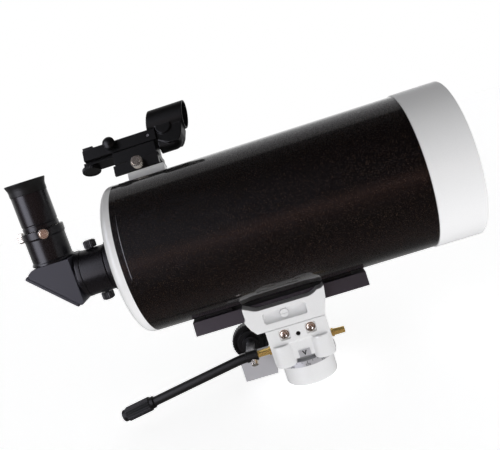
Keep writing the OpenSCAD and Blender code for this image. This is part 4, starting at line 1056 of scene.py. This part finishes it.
# %% Sweep
SWEEP = (
    (-180, (0.30, 0.17, 0.14)), (-168, (0.12, 0.07, 0.06)), (-150, (0.06, 0.045, 0.04)),
    (-95, (0.14, 0.11, 0.11)), (-70, (0.08, 0.075, 0.075)), (-57, (0.11, 0.11, 0.11)),
    (-44, (0.22, 0.22, 0.22)), (-10, (0.34, 0.34, 0.34)), (-2, (1, 1, 1)), (14, (1, 1, 1)),
    (26, (0.58, 0.58, 0.59)), (51, (0.36, 0.35, 0.36)), (66, (0.25, 0.24, 0.24)),
    (70, (0.02, 0.015, 0.015)), (165, (0.03, 0.02, 0.02)), (180, (0.30, 0.17, 0.14)),
)
direction = nodes.new("ShaderNodeTexCoord")
parts = nodes.new("ShaderNodeSeparateXYZ")
links.new(direction.outputs["Generated"], parts.inputs["Vector"])
turn = math_node("ARCTAN2", parts.outputs["Z"], parts.outputs["Y"])
share = math_node("MULTIPLY_ADD", turn, 0.5 / math.pi, 0.5)
sweep = nodes.new("ShaderNodeValToRGB")
stops = sweep.color_ramp.elements
while len(stops) < len(SWEEP):
    stops.new(0.5)
for stop, (degrees, colour) in zip(stops, SWEEP):
    stop.position = degrees / 360 + 0.5
    stop.color = (*colour, 1)
links.new(share, sweep.inputs["Fac"])
print("sweep with", len(SWEEP), "stops")

# %% [markdown]
# ## The soft box in the gloss
# One bright panel at the left is what streaks the eyepiece. A lamp would light the castings too, so the
# panel is only a patch of directions. Each of its edges is the pair of values that it fades between,
# so the streak ends softly, as that of a real soft box does.

# %% Panel
PANEL = (4.2, 4.2, 4.8)
PANEL_EDGE = (0.31, 0.41)
PANEL_END = (0.80, 0.92)
PANEL_TOP = (0.60, 0.92)
PANEL_SILL = (-0.34, -0.26)
west = math_node("MULTIPLY", parts.outputs["X"], -1.0)
front = ramp(math_node("MULTIPLY", parts.outputs["Y"], -1.0), -0.05, 0.05)
across = between(west, PANEL_EDGE, PANEL_END)
upward = between(parts.outputs["Z"], PANEL_SILL, PANEL_TOP)
panel = math_node("MULTIPLY", math_node("MULTIPLY", across, upward), front)
reflected = blended(panel, sweep.outputs["Color"], PANEL)
print("panel as bright as", max(PANEL))

# %% [markdown]
# ## Light by the kind of ray
# Sweep and panel are seen only by glossy rays. Camera rays meet plain white, and diffuse rays get a
# weak even fill, so that the shape of the castings comes from the key light.

# %% Light by kind of ray
FILL = 0.27
ray = nodes.new("ShaderNodeLightPath")
tint = blended(ray.outputs["Is Glossy Ray"], (1, 1, 1), reflected)
links.new(tint, background.inputs["Color"])
strength = math_node("ADD", ray.outputs["Is Camera Ray"], ray.outputs["Is Transmission Ray"])
strength = math_node("ADD", strength, ray.outputs["Is Glossy Ray"])
strength = math_node("MULTIPLY_ADD", ray.outputs["Is Diffuse Ray"], FILL, strength)
links.new(math_node("MINIMUM", strength, 1.0), background.inputs["Strength"])
print("fill", FILL)

# %% [markdown]
# ## The key light
# One large soft box stands beside the camera and a little low, because the white table threw light up
# from below. A sun would give hard shadows on the castings, so a rectangle of light is used. Gloss
# doesn't show it, since the panel already stands there.

# %% Lamps
KEY_PLACE = Vector((0.34, -1.6, -0.15))
KEY_SIZE = (0.9, 0.6)
KEY_WATTS = 13.4


def soft_box(name, place, aim, width, depth, watts):
    """A rectangular soft box at place, turned to aim."""
    lamp = bpy.data.lights.new(name, "AREA")
    lamp.shape = "RECTANGLE"
    lamp.size, lamp.size_y = width, depth
    lamp.energy = watts
    obj = bpy.data.objects.new(name, lamp)
    scene.collection.objects.link(obj)
    turned = (aim - place).to_track_quat("-Z", "Y").to_matrix().to_4x4()
    obj.matrix_world = Matrix.Translation(place) @ turned
    return obj


middle = Vector((tube_mid.x, 0, axis_z))
key = soft_box("key_box", middle + KEY_PLACE, middle, *KEY_SIZE, KEY_WATTS)
key.visible_glossy = False

# %% [markdown]
# ## How far the dressing grew
# Rounding shrinks a piece and ink adds to it. The frame's own box was kept at the start, so the change at each
# side of the box is printed, in millimetres.

# %% Sizes, and the end
visual_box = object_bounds()
grown = [round((b - a) / MM, 2) for low, high in zip(cad_box, visual_box) for a, b in zip(low, high)]
print("visual box against the frame:", grown, "mm")
